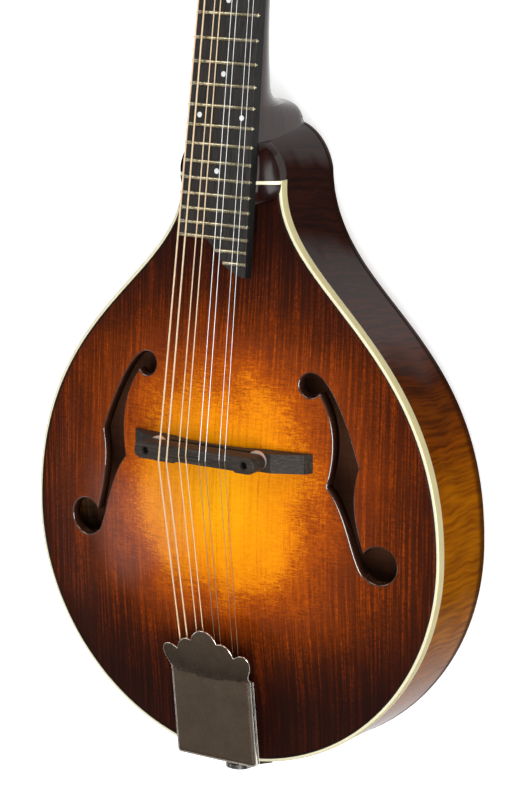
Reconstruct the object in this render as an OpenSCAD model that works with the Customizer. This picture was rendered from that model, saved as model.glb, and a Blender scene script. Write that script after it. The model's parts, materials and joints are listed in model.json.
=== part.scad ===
// Mandolin with a carved arched top, f-shaped sound holes, a carved back, a set
// neck with a truss rod, worm-driven tuners, a height-adjustable bridge and a
// slide-on tailpiece cover. It lies on its back.
//
// Work frame, in mm: x to the treble side, y from the tail to the head, z out
// of the top. Zero is on the centre line where the neck joins the body, at the
// upper edge of the rim. lie_down() turns the work frame to the rest position.

/* [Neck] */
// String length from the nut to the saddle
scale_length = 352.4; // [350:0.1:355]
// Backward lean of the neck, in degrees
neck_angle = 7.5; // [7.2:0.1:7.8]
// Width of the fingerboard at the nut
nut_width = 33; // [32:0.5:34]
// Width of the fingerboard at the body joint
board_width = 42.5; // [42:0.5:43]
// Thickness of the fingerboard
board_t = 6; // [5.5:0.1:6.2]
// Height of the fingerboard's upper face above the rim at the body joint
board_z = 14.7; // [14.5:0.1:15]
// Backward lean of the headstock from the neck, in degrees
head_angle = 13; // [12:0.5:14]
// Length of the headstock
head_length = 149; // [146:1:152]
// Thickness of the headstock's wood
head_t = 13; // [12.5:0.5:13.5]

/* [Body] */
// Greatest width across the binding
body_width = 260; // [256:1:264]
// Length from the body joint to the tail
body_length = 327; // [325:1:329]
// Depth from the binding's upper edge to the back's lower edge
rim_depth = 48.4; // [47:0.2:50]
// Height of the top's arch
top_arch = 15.5; // [15:0.1:16]
// Height of the back's arch
back_arch = 13; // [12:0.5:14]
// Thickness of the ribs
rib_t = 2.5; // [2:0.1:3]
// Width of the binding on the top
binding_w = 1.8; // [1.5:0.1:2]
// Depth of the binding on the side, which is also the top's edge thickness
binding_h = 5.2; // [5:0.1:5.5]

/* [Bridge and tailpiece] */
// Distance of the bridge studs from the centre line
stud_x = 31.5; // [31:0.1:32]
// Height of the saddle's wings above the rim
wing_z = 37.6; // [37.4:0.1:37.8]
// Radius of the thumbwheels
wheel_r = 5.4; // [5:0.1:5.6]
// Length of the tailpiece cover along its slope, from the tail to the ears
cover_length = 64; // [63:0.5:65]

/* [Tuners] */
// Distance between neighbouring string posts
post_pitch = 23; // [22.5:0.1:23.5]
// Distance of the string posts from the centre line
post_x = 19; // [18.8:0.1:19.2]
// Radius of the tuner buttons
button_r = 6; // [5.5:0.1:6]

/* [Hidden] */
// Sides of a round
fine = 64;
// How far a cutting shape reaches past a face, and a length that goes through everything
over = 1;
far = 400;

// Strings, from the bass side to the treble side: diameter, and the places across the nut,
// the saddle and the tailpiece. The thinner a pair's strings, the closer they lie.
string_d = [1.0, 1.0, 0.66, 0.66, 0.38, 0.38, 0.28, 0.28];
string_count = len(string_d);
string_side = [for (i = [0:string_count - 1]) i < string_count / 2 ? -1 : 1];
pair_share = [1.19, 1.05, 0.94, 0.84];
function across(pair_step, pair_gap) =
    [for (i = [0:string_count - 1])
        (floor(i / 2) - 1.5) * pair_step + (i % 2 - 0.5) * pair_gap * pair_share[floor(i / 2)]];
nut_x = across(9.2, 3);
saddle_x = across(12.6, 4.3);
hook_x = across(10.4, 4);
// Break point of each course on the saddle, from the stud line
course_shift = [-4, 0.9, -0.5, 1.6];

// Frets and dots
fret_count = 21;
joint_fret = 15;
function fret_from_nut(n) = scale_length * (1 - pow(2, -n / 12));
nut_y = fret_from_nut(joint_fret);
function fret_y(n) = nut_y - fret_from_nut(n);
nut_t = 5;
nut_lip = 0.4;
slot_gap = 0.1;
fret_r = 1.1;
fret_sink = 0.1;
fret_tang_w = 0.6;
fret_tang_d = 1.6;
dot_r = 1.45;
dot_t = 1.2;
inlay_gap = 0.02;
single_dots = [3, 5, 7, 10, 15];
double_dot = 12;
double_dot_x = 13.2;
function board_half(y) = (board_width + (nut_width - board_width) * y / nut_y) / 2;
function dot_y(n) = (fret_y(n) + fret_y(n - 1)) / 2;
dot_places = concat([for (n = single_dots) [0, dot_y(n)]],
                    [for (side = [-1, 1]) [side * double_dot_x, dot_y(double_dot)]]);
// The fingerboard's end over the body, from the treble edge to the bass edge
board_bass_end = -31.7;
board_end_curves = [
    [[22.4, -50.3], [15, -49.8], [13, -46.5], [9, -45]],
    [[9, -45], [6, -44], [6, -39.3], [2.2, -37.7]],
    [[2.2, -37.7], [0.5, -36], [-1, board_bass_end], [-6, board_bass_end]]];
board_end_steps = 6;
// Where the short frets of the longer treble side begin
whole_frets = 19;
short_fret_from = [3, 8.2];
function fret_from_x(n) =
    n > whole_frets ? short_fret_from[n - whole_frets - 1] : -board_half(fret_y(n));

// Points along each curve of an outline
steps = 16;
function bezier(c, t) =
    pow(1 - t, 3) * c[0] + 3 * t * pow(1 - t, 2) * c[1] + 3 * t * t * (1 - t) * c[2] + pow(t, 3) * c[3];
function curve(c, n) = [for (i = [0:n - 1]) bezier(c, i / n)];
function chain(curves, n) = concat([for (c = curves) each curve(c, n)], [curves[len(curves) - 1][3]]);
function reversed(p) = [for (i = [len(p) - 1:-1:0]) p[i]];
function mirrored(p) = [for (q = p) [-q[0], q[1]]];
function both_sides(half) =
    concat(half, mirrored(reversed([for (i = [0:len(half) - 2]) half[i]])));
function unit(v) = v / norm(v);
// A path moved sideways, to its right-hand side by d
function inward(p, d) =
    [for (i = [0:len(p) - 1])
        let (along = unit(p[min(i + 1, len(p) - 1)] - p[max(i - 1, 0)]))
        p[i] + d * [along[1], -along[0]]];
function below_joint(p) = [for (q = p) [q[0], min(q[1], 0)]];
function band(p, from, to) = concat(inward(p, from), reversed(inward(p, to)));

// Body outline: half of it, from the heel round the belly to the tail
half_width = body_width / 2;
neck_half = 32;
belly_y = -0.6 * body_length;
shoulder_curve = [[13, 24.6], [20, 21.2], [neck_half, 14], [neck_half, 0]];
upper_curve = [[neck_half, 0], [27, -58], [half_width, -77], [half_width, belly_y]];
lower_curve = [[half_width, belly_y], [half_width, -267], [72, -body_length], [0, -body_length]];
// The back is a little fuller at the shoulders than the top
back_neck_half = neck_half + 1.7;
back_shoulder_curve = [[13, 24.6], [28, 21.8], [back_neck_half, 5.8], [back_neck_half, 0]];
back_upper_curve = [[back_neck_half, 0], [37, -72], [half_width, -77], [half_width, belly_y]];
button_end_y = 36.5;
button_curve = [[0, button_end_y], [8, button_end_y], [11, 29], [14, 25.6]];
top_half = chain([upper_curve, lower_curve], steps);
wall_half = chain([shoulder_curve, upper_curve, lower_curve], steps);
back_half = chain([back_shoulder_curve, back_upper_curve, lower_curve], steps);
top_path = both_sides(top_half);
wall_path = both_sides(wall_half);

// Walls of the body
purfling_w = 0.6;
rib_inset = 0.3;
rib_inner = rib_inset + rib_t;
back_overhang = 1.5;
back_edge_t = 4.5;
rib_bottom = back_edge_t - rim_depth;
lining_w = 5;
lining_h = 7;
block_end_y = 20;
head_block_y = -22;
tail_block_y = 22 - body_length;

// Carved plates: rings of the edge line, drawn in towards the arch's middle
arch_y = -190;
arch_rim = 0.97;
ledge_rim = 0.9;
arch_fullness = 0.8;
top_inside_arch = top_arch + 0.4;
back_inside_arch = back_arch - 1;
rings = 9;
function ring_place(j) = sin(90 * j / rings);
function arch(q, height, rim) = height * pow((1 + cos(180 * min(q / rim, 1))) / 2, arch_fullness);
plate_edge = below_joint(inward(top_path, binding_w + purfling_w));
// How far a point lies from the arch's middle towards the top's edge, 0 to 1
function cross2(a, b) = a[0] * b[1] - a[1] * b[0];
function edge_share(x, y) =
    let (p = [x, y - arch_y], n = len(plate_edge))
    max([for (i = [0:n - 1])
        let (a = plate_edge[i] - [0, arch_y], b = plate_edge[(i + 1) % n] - [0, arch_y])
        cross2(a, p) <= 0 && cross2(p, b) <= 0 ? cross2(p, b - a) / cross2(a, b - a) : 0]);
function top_z(x, y) = arch(edge_share(x, y), top_arch, arch_rim);
function under_top_z(x, y) = arch(edge_share(x, y), top_inside_arch, ledge_rim) - binding_h;

// Sound hole on the treble side
eye_at = [52.5, -107.3];
eye_r = 6.4;
bowl_at = [94.7, -200.5];
bowl_r = 10.2;
hole_curves = [
    [[52.5, -100.9], [63, -101], [74, -125], [82, -148.5]],
    [[82, -148.5], [78, -163], [80, -177], [85.8, -195]],
    [[86, -207], [80, -199], [77, -173], [65.2, -160.5]],
    [[65.2, -160.5], [70, -143], [68.5, -124], [58, -110.8]]];
hole_steps = 8;

// Tone bars under the top
tone_bar_x = 27;
tone_bar_w = 6;
tone_bar_h = 9;
tone_bar_ends = [-255, -100];
tone_bar_steps = 12;
tone_bar_tip = 1;
glue_gap = 0.15;

// Riser: the dark shoulder between the body's edge and the fingerboard
riser_half = neck_half - 0.5;
riser_edge_z = 1.5;
riser_foot_z = 0.3;
riser_seat_t = 1;
riser_tail = 12.7;
riser_tail_steps = 8;
// The block that holds the fingerboard's end over the top
support_half = 17;
support_from = 2 - riser_tail;
support_to = -29;
support_steps = 6;
fit_gap = 0.05;
function board_under(y) = board_z - board_t / cos(neck_angle) - y * tan(neck_angle) - fit_gap;

// Neck: half-round shaft that swells towards the body and drops into the heel
shaft_depth = 16.5;
shaft_growth = 1;
swell_start = 100;
swell_rate = 0.0033;
heel_start = 46;
heel_run = 11.5;
heel_drop = 34;
heel_slope = 2.2;
neck_section_points = 16;
tenon = [18, 15, 30];
tenon_top = -9;
tenon_overlap = 2;
head_root = nut_y + nut_t;
root_y = head_root * cos(neck_angle) - board_t * sin(neck_angle);
root_run = 12;
root_sink = 1;
root_thinning = 1 / 3;
function clamp01(t) = min(max(t, 0), 1);
function heel_extra(y) =
    let (t = clamp01((heel_start - y) / heel_run))
    heel_drop * (1 - sqrt(1 - t * t)) + heel_slope * max(heel_start - heel_run - y, 0);
function neck_top(y) =
    board_z - board_t / cos(neck_angle) - min(y, root_y) * tan(neck_angle)
    - clamp01((y - root_y) / root_run) * (root_run * tan(neck_angle + head_angle) + root_sink);
function neck_depth(y) =
    y > root_y ? shaft_depth - (y - root_y) * root_thinning
    : shaft_depth + shaft_growth * (root_y - y) / root_y + swell_rate * pow(max(swell_start - y, 0), 2)
      + heel_extra(y);
function neck_half_at(y) = board_half(min(y, nut_y));
heel_sections = [for (y = [block_end_y:2:heel_start]) y];
swell_sections = [for (y = [heel_start + 6:8:swell_start]) y];
neck_sections = concat(heel_sections, swell_sections, [120, 160, root_y - nut_t, root_y, root_y + root_run]);

// Headstock outline and what sits on it
head_half = 33;
root_overlap = 0.4;
head_curves = [
    [[nut_width / 2 - 1, root_overlap], [nut_width / 2, 12], [head_half - 1, 14], [head_half, 30]],
    [[head_half, 30], [head_half - 1, 60], [head_half - 2, 90], [head_half - 3, 120]],
    [[head_half - 3, 120], [head_half - 4, 140], [22, head_length], [13, head_length]]];
head_outline = chain(head_curves, 8);
headplate_t = 2;
rod_z = -board_t - 5.5;
rod_r = 2.4;
rod_from = 32;
rod_nut_r = 3.5;
rod_nut_from = head_root + 6.5;
rod_nut_length = 10;
rod_end = rod_nut_from + rod_nut_length + 2;
pocket_half = 4.2;
pocket_from = head_root + 2;
pocket_length = 28;
rod_cover_t = 1.8;
rod_cover = [[4, 4], [9, 4], [9, 8], [4.5, 22], [4.5, 32], [0, 36]];
rod_cover_screws = [[6.5, 6.5], [-6.5, 6.5], [0, 33.2]];

// Tuners: post, gear and worm, in the headstock's frame
first_post = 34;
post_r = 3;
post_top = 15;
post_waist_r = 2.6;
waist_from = 4;
waist_to = 12;
post_hole_r = 0.8;
waist_edge = post_r - post_waist_r;
post_round = 0.8;
post_stub = 1;
post_stub_r = 2;
running_gap = 0.06;
bushing_r = 4;
bushing_flange_r = 5.5;
bushing_flange_t = 1.2;
bushing_depth = 6;
plate_t = 1;
plate_back = -head_t - plate_t;
plate_x = [11.5, 27];
plate_s = [22, 125];
gear_r = 5.2;
gear_t = 2.4;
gear_teeth = 16;
worm_pitch = 2 * PI * gear_r / gear_teeth;
worm_r = 2.3;
tooth_up = 0.6;
tooth_down = 0.75;
tooth_half = 0.36;
tooth_slant = tan(20);
worm_core_r = worm_r - tooth_down;
worm_root = 0.2;
worm_journal_r = 1.5;
worm_s = gear_r + worm_r;
worm_z = plate_back - 3.4;
worm_turns = 4.5;
worm_turn_steps = 12;
tab_x = 6.2;
tab_t = 1.6;
tab_w = 6;
tab_low = worm_z - 2.6;
shaft_in = 8.4;
worm_end_gap = 0.5;
worm_core_half = tab_x - tab_t / 2 - worm_end_gap;
button_from = 18;
button_length = 14;
button_bore = 8;
button_collar = [[2.6, 0], [2.8, 1.5]];
button_edge = 2;
button_steps = 8;
screw_head_r = 2.2;
screw_head_t = 0.9;
screw_shank_r = 1.2;
screw_length = 8;
screw_point = 3;
plate_screw_s = [for (i = [0:4]) first_post - 8 + i * post_pitch];
plate_screw_x = 24.2;
tuner_side = [for (k = [0:7]) k < 4 ? -1 : 1];
function tuner_post_s(k) = first_post + (k % 4) * post_pitch;

// Bridge
bridge_y = -147;
base_half = 57;
base_w = 10.5;
base_y = bridge_y - 1.5;
base_mid_half = 38;
base_top_z = 20.5;
base_end_z = 12.9;
base_end_slope = 2.8;
foot_half = 20;
foot_relief = 2.5;
base_steps = 12;
stud_r = 1.9;
stud_bottom = 15;
stud_top = 35.5;
wheel_t = 3.2;
wheel_z = base_top_z + 1.8;
wheel_teeth = 30;
wheel_notch = 0.35;
saddle_z = wheel_z + wheel_t + 0.05;
saddle_half = 38.5;
saddle_w = 9;
crest_half = 25;
crest_z = 38.3;
crest_edge = 0.45;
stud_gap = 0.1;

// Tailpiece: a bent plate on the tail and a cover over the string ends
cover_tail = [-323.1, 15.2];
cover_slope = 7.1;
cover_t = 1.1;
cover_half = 25.2;
cover_flange = 2.6;
cover_flange_length = cover_length - 12;
cover_bend = 9;
cover_peak = 14.7;
// The cover's scalloped front past its crease, along the slope from the ears' line
cover_curves = [
    [[cover_half, -12], [cover_half, -8.5], [28.2, -6], [28.1, -1.6]],
    [[28.1, -1.6], [28, 1.2], [26.4, 3.4], [23.6, 3.4]],
    [[23.6, 3.4], [21.6, 3.4], [19.7, 2.4], [18.3, 1.1]],
    [[18.3, 1.1], [17.6, 5], [14.6, 8.4], [11.6, 8.4]],
    [[11.6, 8.4], [10.5, 8.4], [9.3, 8.3], [8.3, 8]],
    [[8.3, 8], [7.6, 11.2], [4.4, cover_peak], [0, cover_peak]]];
cover_steps = 6;
tail_base_half = 23.6;
tail_base_t = 0.8;
tail_base_drop = 4.5;
tail_base_length = 50;
tail_rail_t = 1.2;
tail_ramp = 9;
tail_plate_y = -body_length - 0.15;
tail_rim_half = 16;
tail_rim_y = 2 - body_length;
tail_rim_gap = 0.2;
tail_plate = [[tail_rim_half, 0], [22, -8], [20, -14], [8, -30]];
hook_at = 22;
hook_r = 1.1;
hook_h = 2.6;
hook_root = 0.5;
tail_screw_at = [[-16, -8], [16, -8], [0, -25]];
tail_screw_length = 14;
strap_z = -9.2;
strap_r = 8;
strap_neck_r = 4.5;
strap_peg_r = 3.4;
strap_edge = 0.8;
strap_peg = 24;
strap_length = 6.6;
strap_neck_length = 3.4;

// Wound string ends
turns = [2, 2, 2, 2, 3, 3, 3, 3];
turn_rings = 24;
tube_sides = 6;
turn_gap = 0.55;
string_rise = 1.2;
string_sink = 0.3;
wind_z = waist_from + string_d[0] * 0.8;

// Places in the work frame of points on the neck and on the headstock
function on_neck(p) =
    [p[0],
     p[1] * cos(neck_angle) + p[2] * sin(neck_angle),
     board_z - p[1] * sin(neck_angle) + p[2] * cos(neck_angle)];
function on_head(p) =
    on_neck([p[0],
             head_root + p[1] * cos(head_angle) + p[2] * sin(head_angle),
             -board_t - p[1] * sin(head_angle) + p[2] * cos(head_angle)]);

// Rest position: the back's arch and the headstock's end lie on the ground
head_contact = on_head([0, head_length, -head_t]);
back_steps = 200;
back_line = [for (i = [0:back_steps])
    let (q = i / back_steps, y = arch_y + q * (button_end_y - arch_y))
    [y, -rim_depth - arch(q, back_arch, arch_rim)]];
function height_at(p, tilt) = p[0] * sin(tilt) + p[1] * cos(tilt);
function back_low(tilt) =
    min([for (s = [-1, 1]) for (p = back_line) height_at([arch_y + s * (p[0] - arch_y), p[1]], tilt)]);
function tilt_step(tilt) =
    tilt + asin((back_low(tilt) - height_at([head_contact[1], head_contact[2]], tilt))
                / (head_contact[1] - arch_y));
rest_tilt = tilt_step(tilt_step(tilt_step(0)));
rest_lift = -height_at([head_contact[1], head_contact[2]], rest_tilt);
function length_at(y, z) = y * cos(rest_tilt) - z * sin(rest_tilt);
head_end = on_head([0, head_length, headplate_t]);
strap_end_y = tail_plate_y - tail_base_t - strap_length;
rest_shift = -(length_at(head_end[1], head_end[2]) + length_at(strap_end_y, strap_z + strap_r)) / 2;

// Frames
module lie_down() {
    translate([0, rest_shift, rest_lift]) rotate([rest_tilt, 0, 0]) children();
}
module in_neck() {
    translate([0, 0, board_z]) rotate([-neck_angle, 0, 0]) children();
}
module in_head() {
    in_neck() translate([0, head_root, -board_t]) rotate([-head_angle, 0, 0]) children();
}
// The slope of the tailpiece cover, from its tail end
module in_cover() {
    translate([0, cover_tail[0], cover_tail[1]]) rotate([cover_slope, 0, 0]) children();
}
// An outline drawn in y and z, given a width along x about the centre line
module across_width(width) {
    rotate([90, 0, 90]) linear_extrude(width, center = true) children();
}
// An outline drawn in x and z, given a depth along y about y = 0
module along_depth(depth) {
    rotate([90, 0, 0]) linear_extrude(depth, center = true) children();
}

// A carved plate between two faces, each a function of the edge share
module carved(edge, upper, lower) {
    n = len(edge);
    middle = [0, arch_y];
    function face(shape) = concat(
        [[middle[0], middle[1], shape(0)]],
        [for (j = [1:rings]) let (q = ring_place(j)) for (p = edge)
            let (r = middle + q * (p - middle)) [r[0], r[1], shape(q)]]);
    function at(j, i) = 1 + (j - 1) * n + i % n;
    size = 1 + rings * n;
    fan = [for (i = [0:n - 1]) [0, at(1, i), at(1, i + 1)]];
    strips = [for (j = [1:rings - 1]) for (i = [0:n - 1])
        each [[at(j, i), at(j + 1, i), at(j + 1, i + 1)], [at(j, i), at(j + 1, i + 1), at(j, i + 1)]]];
    skin = concat(fan, strips);
    under = [for (f = skin) [f[2] + size, f[1] + size, f[0] + size]];
    edge_faces = [for (i = [0:n - 1])
        let (a = at(rings, i), b = at(rings, i + 1))
        each [[b, a, a + size], [b, a + size, b + size]]];
    polyhedron(concat(face(upper), face(lower)), concat(skin, under, edge_faces));
}

// A tube along points, with one ring of sides at each point
module tube(points, radius) {
    n = len(points);
    function heading(i) = unit(points[min(i + 1, n - 1)] - points[max(i - 1, 0)]);
    // Each ring's first direction is carried on from the ring before it
    sides = carried(points, n);
    verts = [for (i = [0:n - 1]) for (s = [0:tube_sides - 1])
        let (u = sides[i], v = cross(heading(i), u), a = 360 * s / tube_sides)
        points[i] + radius * (cos(a) * u + sin(a) * v)];
    function at(i, s) = i * tube_sides + s % tube_sides;
    walls = [for (i = [0:n - 2]) for (s = [0:tube_sides - 1])
        each [[at(i, s), at(i + 1, s + 1), at(i, s + 1)], [at(i, s), at(i + 1, s), at(i + 1, s + 1)]]];
    start = [for (s = [1:tube_sides - 2]) [at(0, 0), at(0, s), at(0, s + 1)]];
    finish = [for (s = [1:tube_sides - 2]) [at(n - 1, 0), at(n - 1, s + 1), at(n - 1, s)]];
    polyhedron(verts, concat(walls, start, finish));
}
function flattened(u, heading) = unit(u - heading * (u * heading));
function carried(points, n, i = 0, found = []) =
    i == n ? found
    : let (heading = unit(points[min(i + 1, n - 1)] - points[max(i - 1, 0)]),
           u = i == 0 ? [0, 0, 1] : found[i - 1])
      carried(points, n, i + 1, concat(found, [flattened(u, heading)]));

// A screw with its head's underside at zero and its shank downwards
module screw(length) {
    rotate_extrude($fn = fine) polygon([
        [0, -length], [screw_shank_r, -length + screw_point], [screw_shank_r, 0], [screw_head_r, 0],
        [screw_head_r, screw_head_t / 2], [screw_head_r - screw_head_t, screw_head_t], [0, screw_head_t]]);
}

// Body
module sound_hole() {
    points = concat(chain([hole_curves[0], hole_curves[1]], hole_steps),
                    chain([hole_curves[2], hole_curves[3]], hole_steps));
    polygon(points);
    translate(eye_at) circle(eye_r, $fn = fine);
    translate(bowl_at) circle(bowl_r, $fn = fine);
}
module top_plate() {
    upper = function (q) arch(q, top_arch, arch_rim);
    lower = function (q) arch(q, top_inside_arch, ledge_rim) - binding_h;
    color("peru") lie_down() difference() {
        carved(plate_edge, upper, lower);
        for (side = [0, 1]) mirror([side, 0, 0])
            translate([0, 0, -binding_h]) linear_extrude(2 * top_arch) sound_hole();
    }
}
module back_plate() {
    edge_half = concat(curve(button_curve, steps / 2), inward(back_half, -back_overhang));
    upper = function (q) rib_bottom - arch(q, back_inside_arch, ledge_rim);
    lower = function (q) -rim_depth - arch(q, back_arch, arch_rim);
    whole = both_sides(edge_half);
    color("saddlebrown") lie_down()
        carved([for (i = [0:len(whole) - 2]) whole[i]], upper, lower);
}
// The rib of the treble side, cut to the heel and bored for the strap button
module rib() {
    difference() {
        translate([0, 0, rib_bottom]) linear_extrude(-binding_h - rib_bottom)
            polygon([for (p = band(wall_half, rib_inset, rib_inner)) [max(p[0], 0), p[1]]]);
        neck_shaft(rib_bottom - over);
        tail_bores();
    }
}
module treble_rib() {
    color("sienna") lie_down() rib();
}
module bass_rib() {
    color("sienna") lie_down() mirror([1, 0, 0]) rib();
}
module inside_walls() {
    polygon(inward(wall_path, rib_inner));
}
module head_block() {
    color("tan") lie_down() difference() {
        translate([0, 0, rib_bottom]) linear_extrude(-binding_h - rib_bottom) intersection() {
            inside_walls();
            translate([-half_width, head_block_y]) square([body_width, block_end_y - head_block_y]);
        }
        neck_tenon(fit_gap);
    }
}
module tail_block() {
    color("tan") lie_down() difference() {
        translate([0, 0, rib_bottom]) linear_extrude(-binding_h - rib_bottom) intersection() {
            inside_walls();
            translate([-half_width, tail_block_y - body_length]) square([body_width, body_length]);
        }
        tail_bores();
    }
}
// A strip along the inside of the ribs, between the two blocks
module lining(bottom) {
    translate([0, 0, bottom]) linear_extrude(lining_h) intersection() {
        polygon(band(wall_path, rib_inner, rib_inner + lining_w));
        translate([-half_width, tail_block_y]) square([body_width, head_block_y - tail_block_y]);
    }
}
module top_lining() {
    color("burlywood") lie_down() lining(-binding_h - lining_h);
}
module back_lining() {
    color("burlywood") lie_down() lining(rib_bottom);
}
module tone_bars() {
    run = tone_bar_ends[1] - tone_bar_ends[0];
    function bar_top(y) =
        min([for (e = [-0.5, 0.5]) under_top_z(tone_bar_x + e * tone_bar_w, y)]) - glue_gap;
    top_line = [for (i = [0:tone_bar_steps])
        let (y = tone_bar_ends[0] + run * i / tone_bar_steps) [y, bar_top(y)]];
    bottom_line = [for (p = reversed(top_line))
        [p[0], p[1] - tone_bar_h * sin(180 * (p[0] - tone_bar_ends[0]) / run) - tone_bar_tip]];
    color("burlywood") lie_down() for (side = [-1, 1])
        translate([side * tone_bar_x, 0, 0]) across_width(tone_bar_w)
            polygon(concat(top_line, bottom_line));
}
module top_binding() {
    color("ivory") lie_down() {
        translate([0, 0, -binding_h]) linear_extrude(binding_h)
            polygon(concat(top_path, reversed(below_joint(inward(top_path, binding_w)))));
        translate([0, -binding_w / 2, 0]) along_depth(binding_w) riser_face();
    }
}
module top_purfling() {
    color("black") lie_down() translate([0, 0, -binding_h]) linear_extrude(binding_h)
        polygon(below_joint(band(top_path, binding_w, binding_w + purfling_w)));
}

// Riser
module riser_face() {
    side = [[riser_half, riser_foot_z], [riser_half, riser_edge_z], [board_half(0), board_under(0)]];
    polygon(concat(side, mirrored(reversed(side))));
}
// The strip of riser that the fingerboard lies on
module riser_seat(from, to) {
    across_width(2 * board_half(0)) polygon([
        [from, board_under(from)], [to, board_under(to)],
        [to, board_under(to) - riser_seat_t], [from, board_under(from) - riser_seat_t]]);
}
module neck_riser() {
    tail_side = [for (i = [0:riser_tail_steps])
        let (a = 90 * i / riser_tail_steps)
        [board_half(0) + (riser_half - board_half(0)) * cos(a),
         -binding_w - (riser_tail - binding_w) * sin(a)]];
    support = [for (i = [0:support_steps])
        let (y = support_from + (support_to - support_from) * i / support_steps)
        [y, top_z(0, y) + glue_gap]];
    color([0.16, 0.08, 0.06]) lie_down() {
        hull() {
            translate([0, 0, -binding_h]) linear_extrude(binding_h + riser_edge_z) intersection() {
                polygon(inward(wall_path, rib_inset));
                translate([-neck_half, 0]) square([2 * neck_half, block_end_y]);
            }
            riser_seat(0, block_end_y);
        }
        hull() {
            translate([0, 0, riser_foot_z]) linear_extrude(riser_edge_z - riser_foot_z)
                polygon(both_sides(tail_side));
            riser_seat(-riser_tail, -binding_w);
        }
        across_width(2 * support_half) polygon(concat(support,
            [[support_to, board_under(support_to)], [support_from, board_under(support_from)]]));
    }
}

// Neck
// The shaft and heel, cut level at the bottom
module neck_shaft(bottom) {
    n = neck_section_points + 1;
    verts = [for (y = neck_sections) for (i = [0:neck_section_points])
        let (a = 180 * i / neck_section_points)
        [neck_half_at(y) * cos(a), y, max(neck_top(y) - neck_depth(y) * sin(a), bottom)]];
    last = len(neck_sections) - 1;
    function at(j, i) = j * n + i % n;
    walls = [for (j = [0:last - 1]) for (i = [0:n - 1])
        each [[at(j, i), at(j + 1, i + 1), at(j, i + 1)], [at(j, i), at(j + 1, i), at(j + 1, i + 1)]]];
    start = [for (i = [1:n - 2]) [at(0, 0), at(0, i), at(0, i + 1)]];
    finish = [for (i = [1:n - 2]) [at(last, 0), at(last, i + 1), at(last, i)]];
    polyhedron(verts, concat(walls, start, finish));
}
module neck_tenon(gap) {
    translate([-tenon[0] / 2 - gap, block_end_y - tenon[1] - gap, tenon_top - tenon[2] - gap])
        cube([tenon[0] + 2 * gap, tenon[1] + tenon_overlap + gap, tenon[2] + 2 * gap]);
}
module head_shape() {
    polygon(concat(head_outline, mirrored(reversed(head_outline))));
}
module rod_bore(radius, from, to) {
    in_neck() translate([0, from, rod_z]) rotate([-90, 0, 0])
        cylinder(h = to - from, r = radius, $fn = fine);
}
module rod_pocket() {
    in_neck() translate([-pocket_half, pocket_from, rod_z - pocket_half])
        cube([2 * pocket_half, pocket_length, 4 * pocket_half]);
}
module each_post() {
    for (k = [0:7]) in_head() translate([tuner_side[k] * post_x, tuner_post_s(k), 0]) children();
}
module post_bores() {
    each_post() translate([0, 0, -head_t - over])
        cylinder(h = head_t + headplate_t + 2 * over, r = bushing_r + fit_gap, $fn = fine);
}
module each_plate_screw() {
    for (side = [-1, 1], s = plate_screw_s)
        in_head() translate([side * plate_screw_x, s, plate_back]) rotate([180, 0, 0]) children();
}
module each_cover_screw() {
    for (p = rod_cover_screws)
        in_head() translate([p[0], p[1], headplate_t + rod_cover_t]) children();
}
module screw_bore(length) {
    translate([0, 0, -length - over])
        cylinder(h = length + 2 * over, r = screw_shank_r + fit_gap, $fn = fine);
}
module screw_bores() {
    each_plate_screw() screw_bore(screw_length);
    each_cover_screw() screw_bore(screw_length);
}
module neck() {
    color([0.13, 0.07, 0.05]) lie_down() difference() {
        union() {
            neck_shaft(rib_bottom);
            neck_tenon(0);
            in_head() translate([0, 0, -head_t]) linear_extrude(head_t) head_shape();
        }
        rod_bore(rod_r + fit_gap, rod_from, pocket_from + over);
        rod_pocket();
        post_bores();
        screw_bores();
    }
}
module truss_rod() {
    color("silver") lie_down() rod_bore(rod_r, rod_from, rod_end);
}
module truss_rod_nut() {
    color("goldenrod") lie_down() difference() {
        rod_bore(rod_nut_r, rod_nut_from, rod_nut_from + rod_nut_length);
        rod_bore(rod_r + fit_gap, rod_nut_from - over, rod_nut_from + rod_nut_length + over);
    }
}
module headplate() {
    color([0.1, 0.1, 0.1]) lie_down() difference() {
        in_head() linear_extrude(headplate_t) head_shape();
        rod_pocket();
        post_bores();
        screw_bores();
    }
}
module truss_rod_cover() {
    color([0.1, 0.1, 0.1]) lie_down() difference() {
        in_head() translate([0, 0, headplate_t]) linear_extrude(rod_cover_t)
            polygon(concat(rod_cover, mirrored(reversed(rod_cover))));
        screw_bores();
    }
}
module headstock_screws() {
    color("silver") lie_down() {
        each_plate_screw() screw(screw_length);
        each_cover_screw() screw(screw_length);
    }
}

// Fingerboard
module each_fret() {
    for (n = [1:fret_count])
        let (from = fret_from_x(n), to = board_half(fret_y(n)))
        in_neck() translate([(from + to) / 2, fret_y(n), 0]) across_width(to - from) children();
}
module each_dot() {
    for (p = dot_places) in_neck() translate([p[0], p[1], -dot_t]) children();
}
module fret_tang() {
    translate([-fret_tang_w / 2, -fret_tang_d]) square([fret_tang_w, fret_tang_d]);
}
module fingerboard() {
    color([0.13, 0.13, 0.13]) lie_down() difference() {
        in_neck() translate([0, 0, -board_t]) linear_extrude(board_t) polygon(concat(
            [[board_half(nut_y), nut_y]], chain(board_end_curves, board_end_steps),
            [[-board_half(board_bass_end), board_bass_end], [-board_half(nut_y), nut_y]]));
        each_fret() fret_tang();
        each_dot() cylinder(h = dot_t + over, r = dot_r + inlay_gap, $fn = fine);
    }
}
module frets() {
    color("lightgray") lie_down() each_fret() {
        fret_tang();
        intersection() {
            translate([0, -fret_sink]) circle(fret_r, $fn = fine);
            translate([-fret_r, 0]) square(2 * fret_r);
        }
    }
}
module position_dots() {
    color("white") lie_down() each_dot() cylinder(h = dot_t, r = dot_r, $fn = fine);
}
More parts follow.
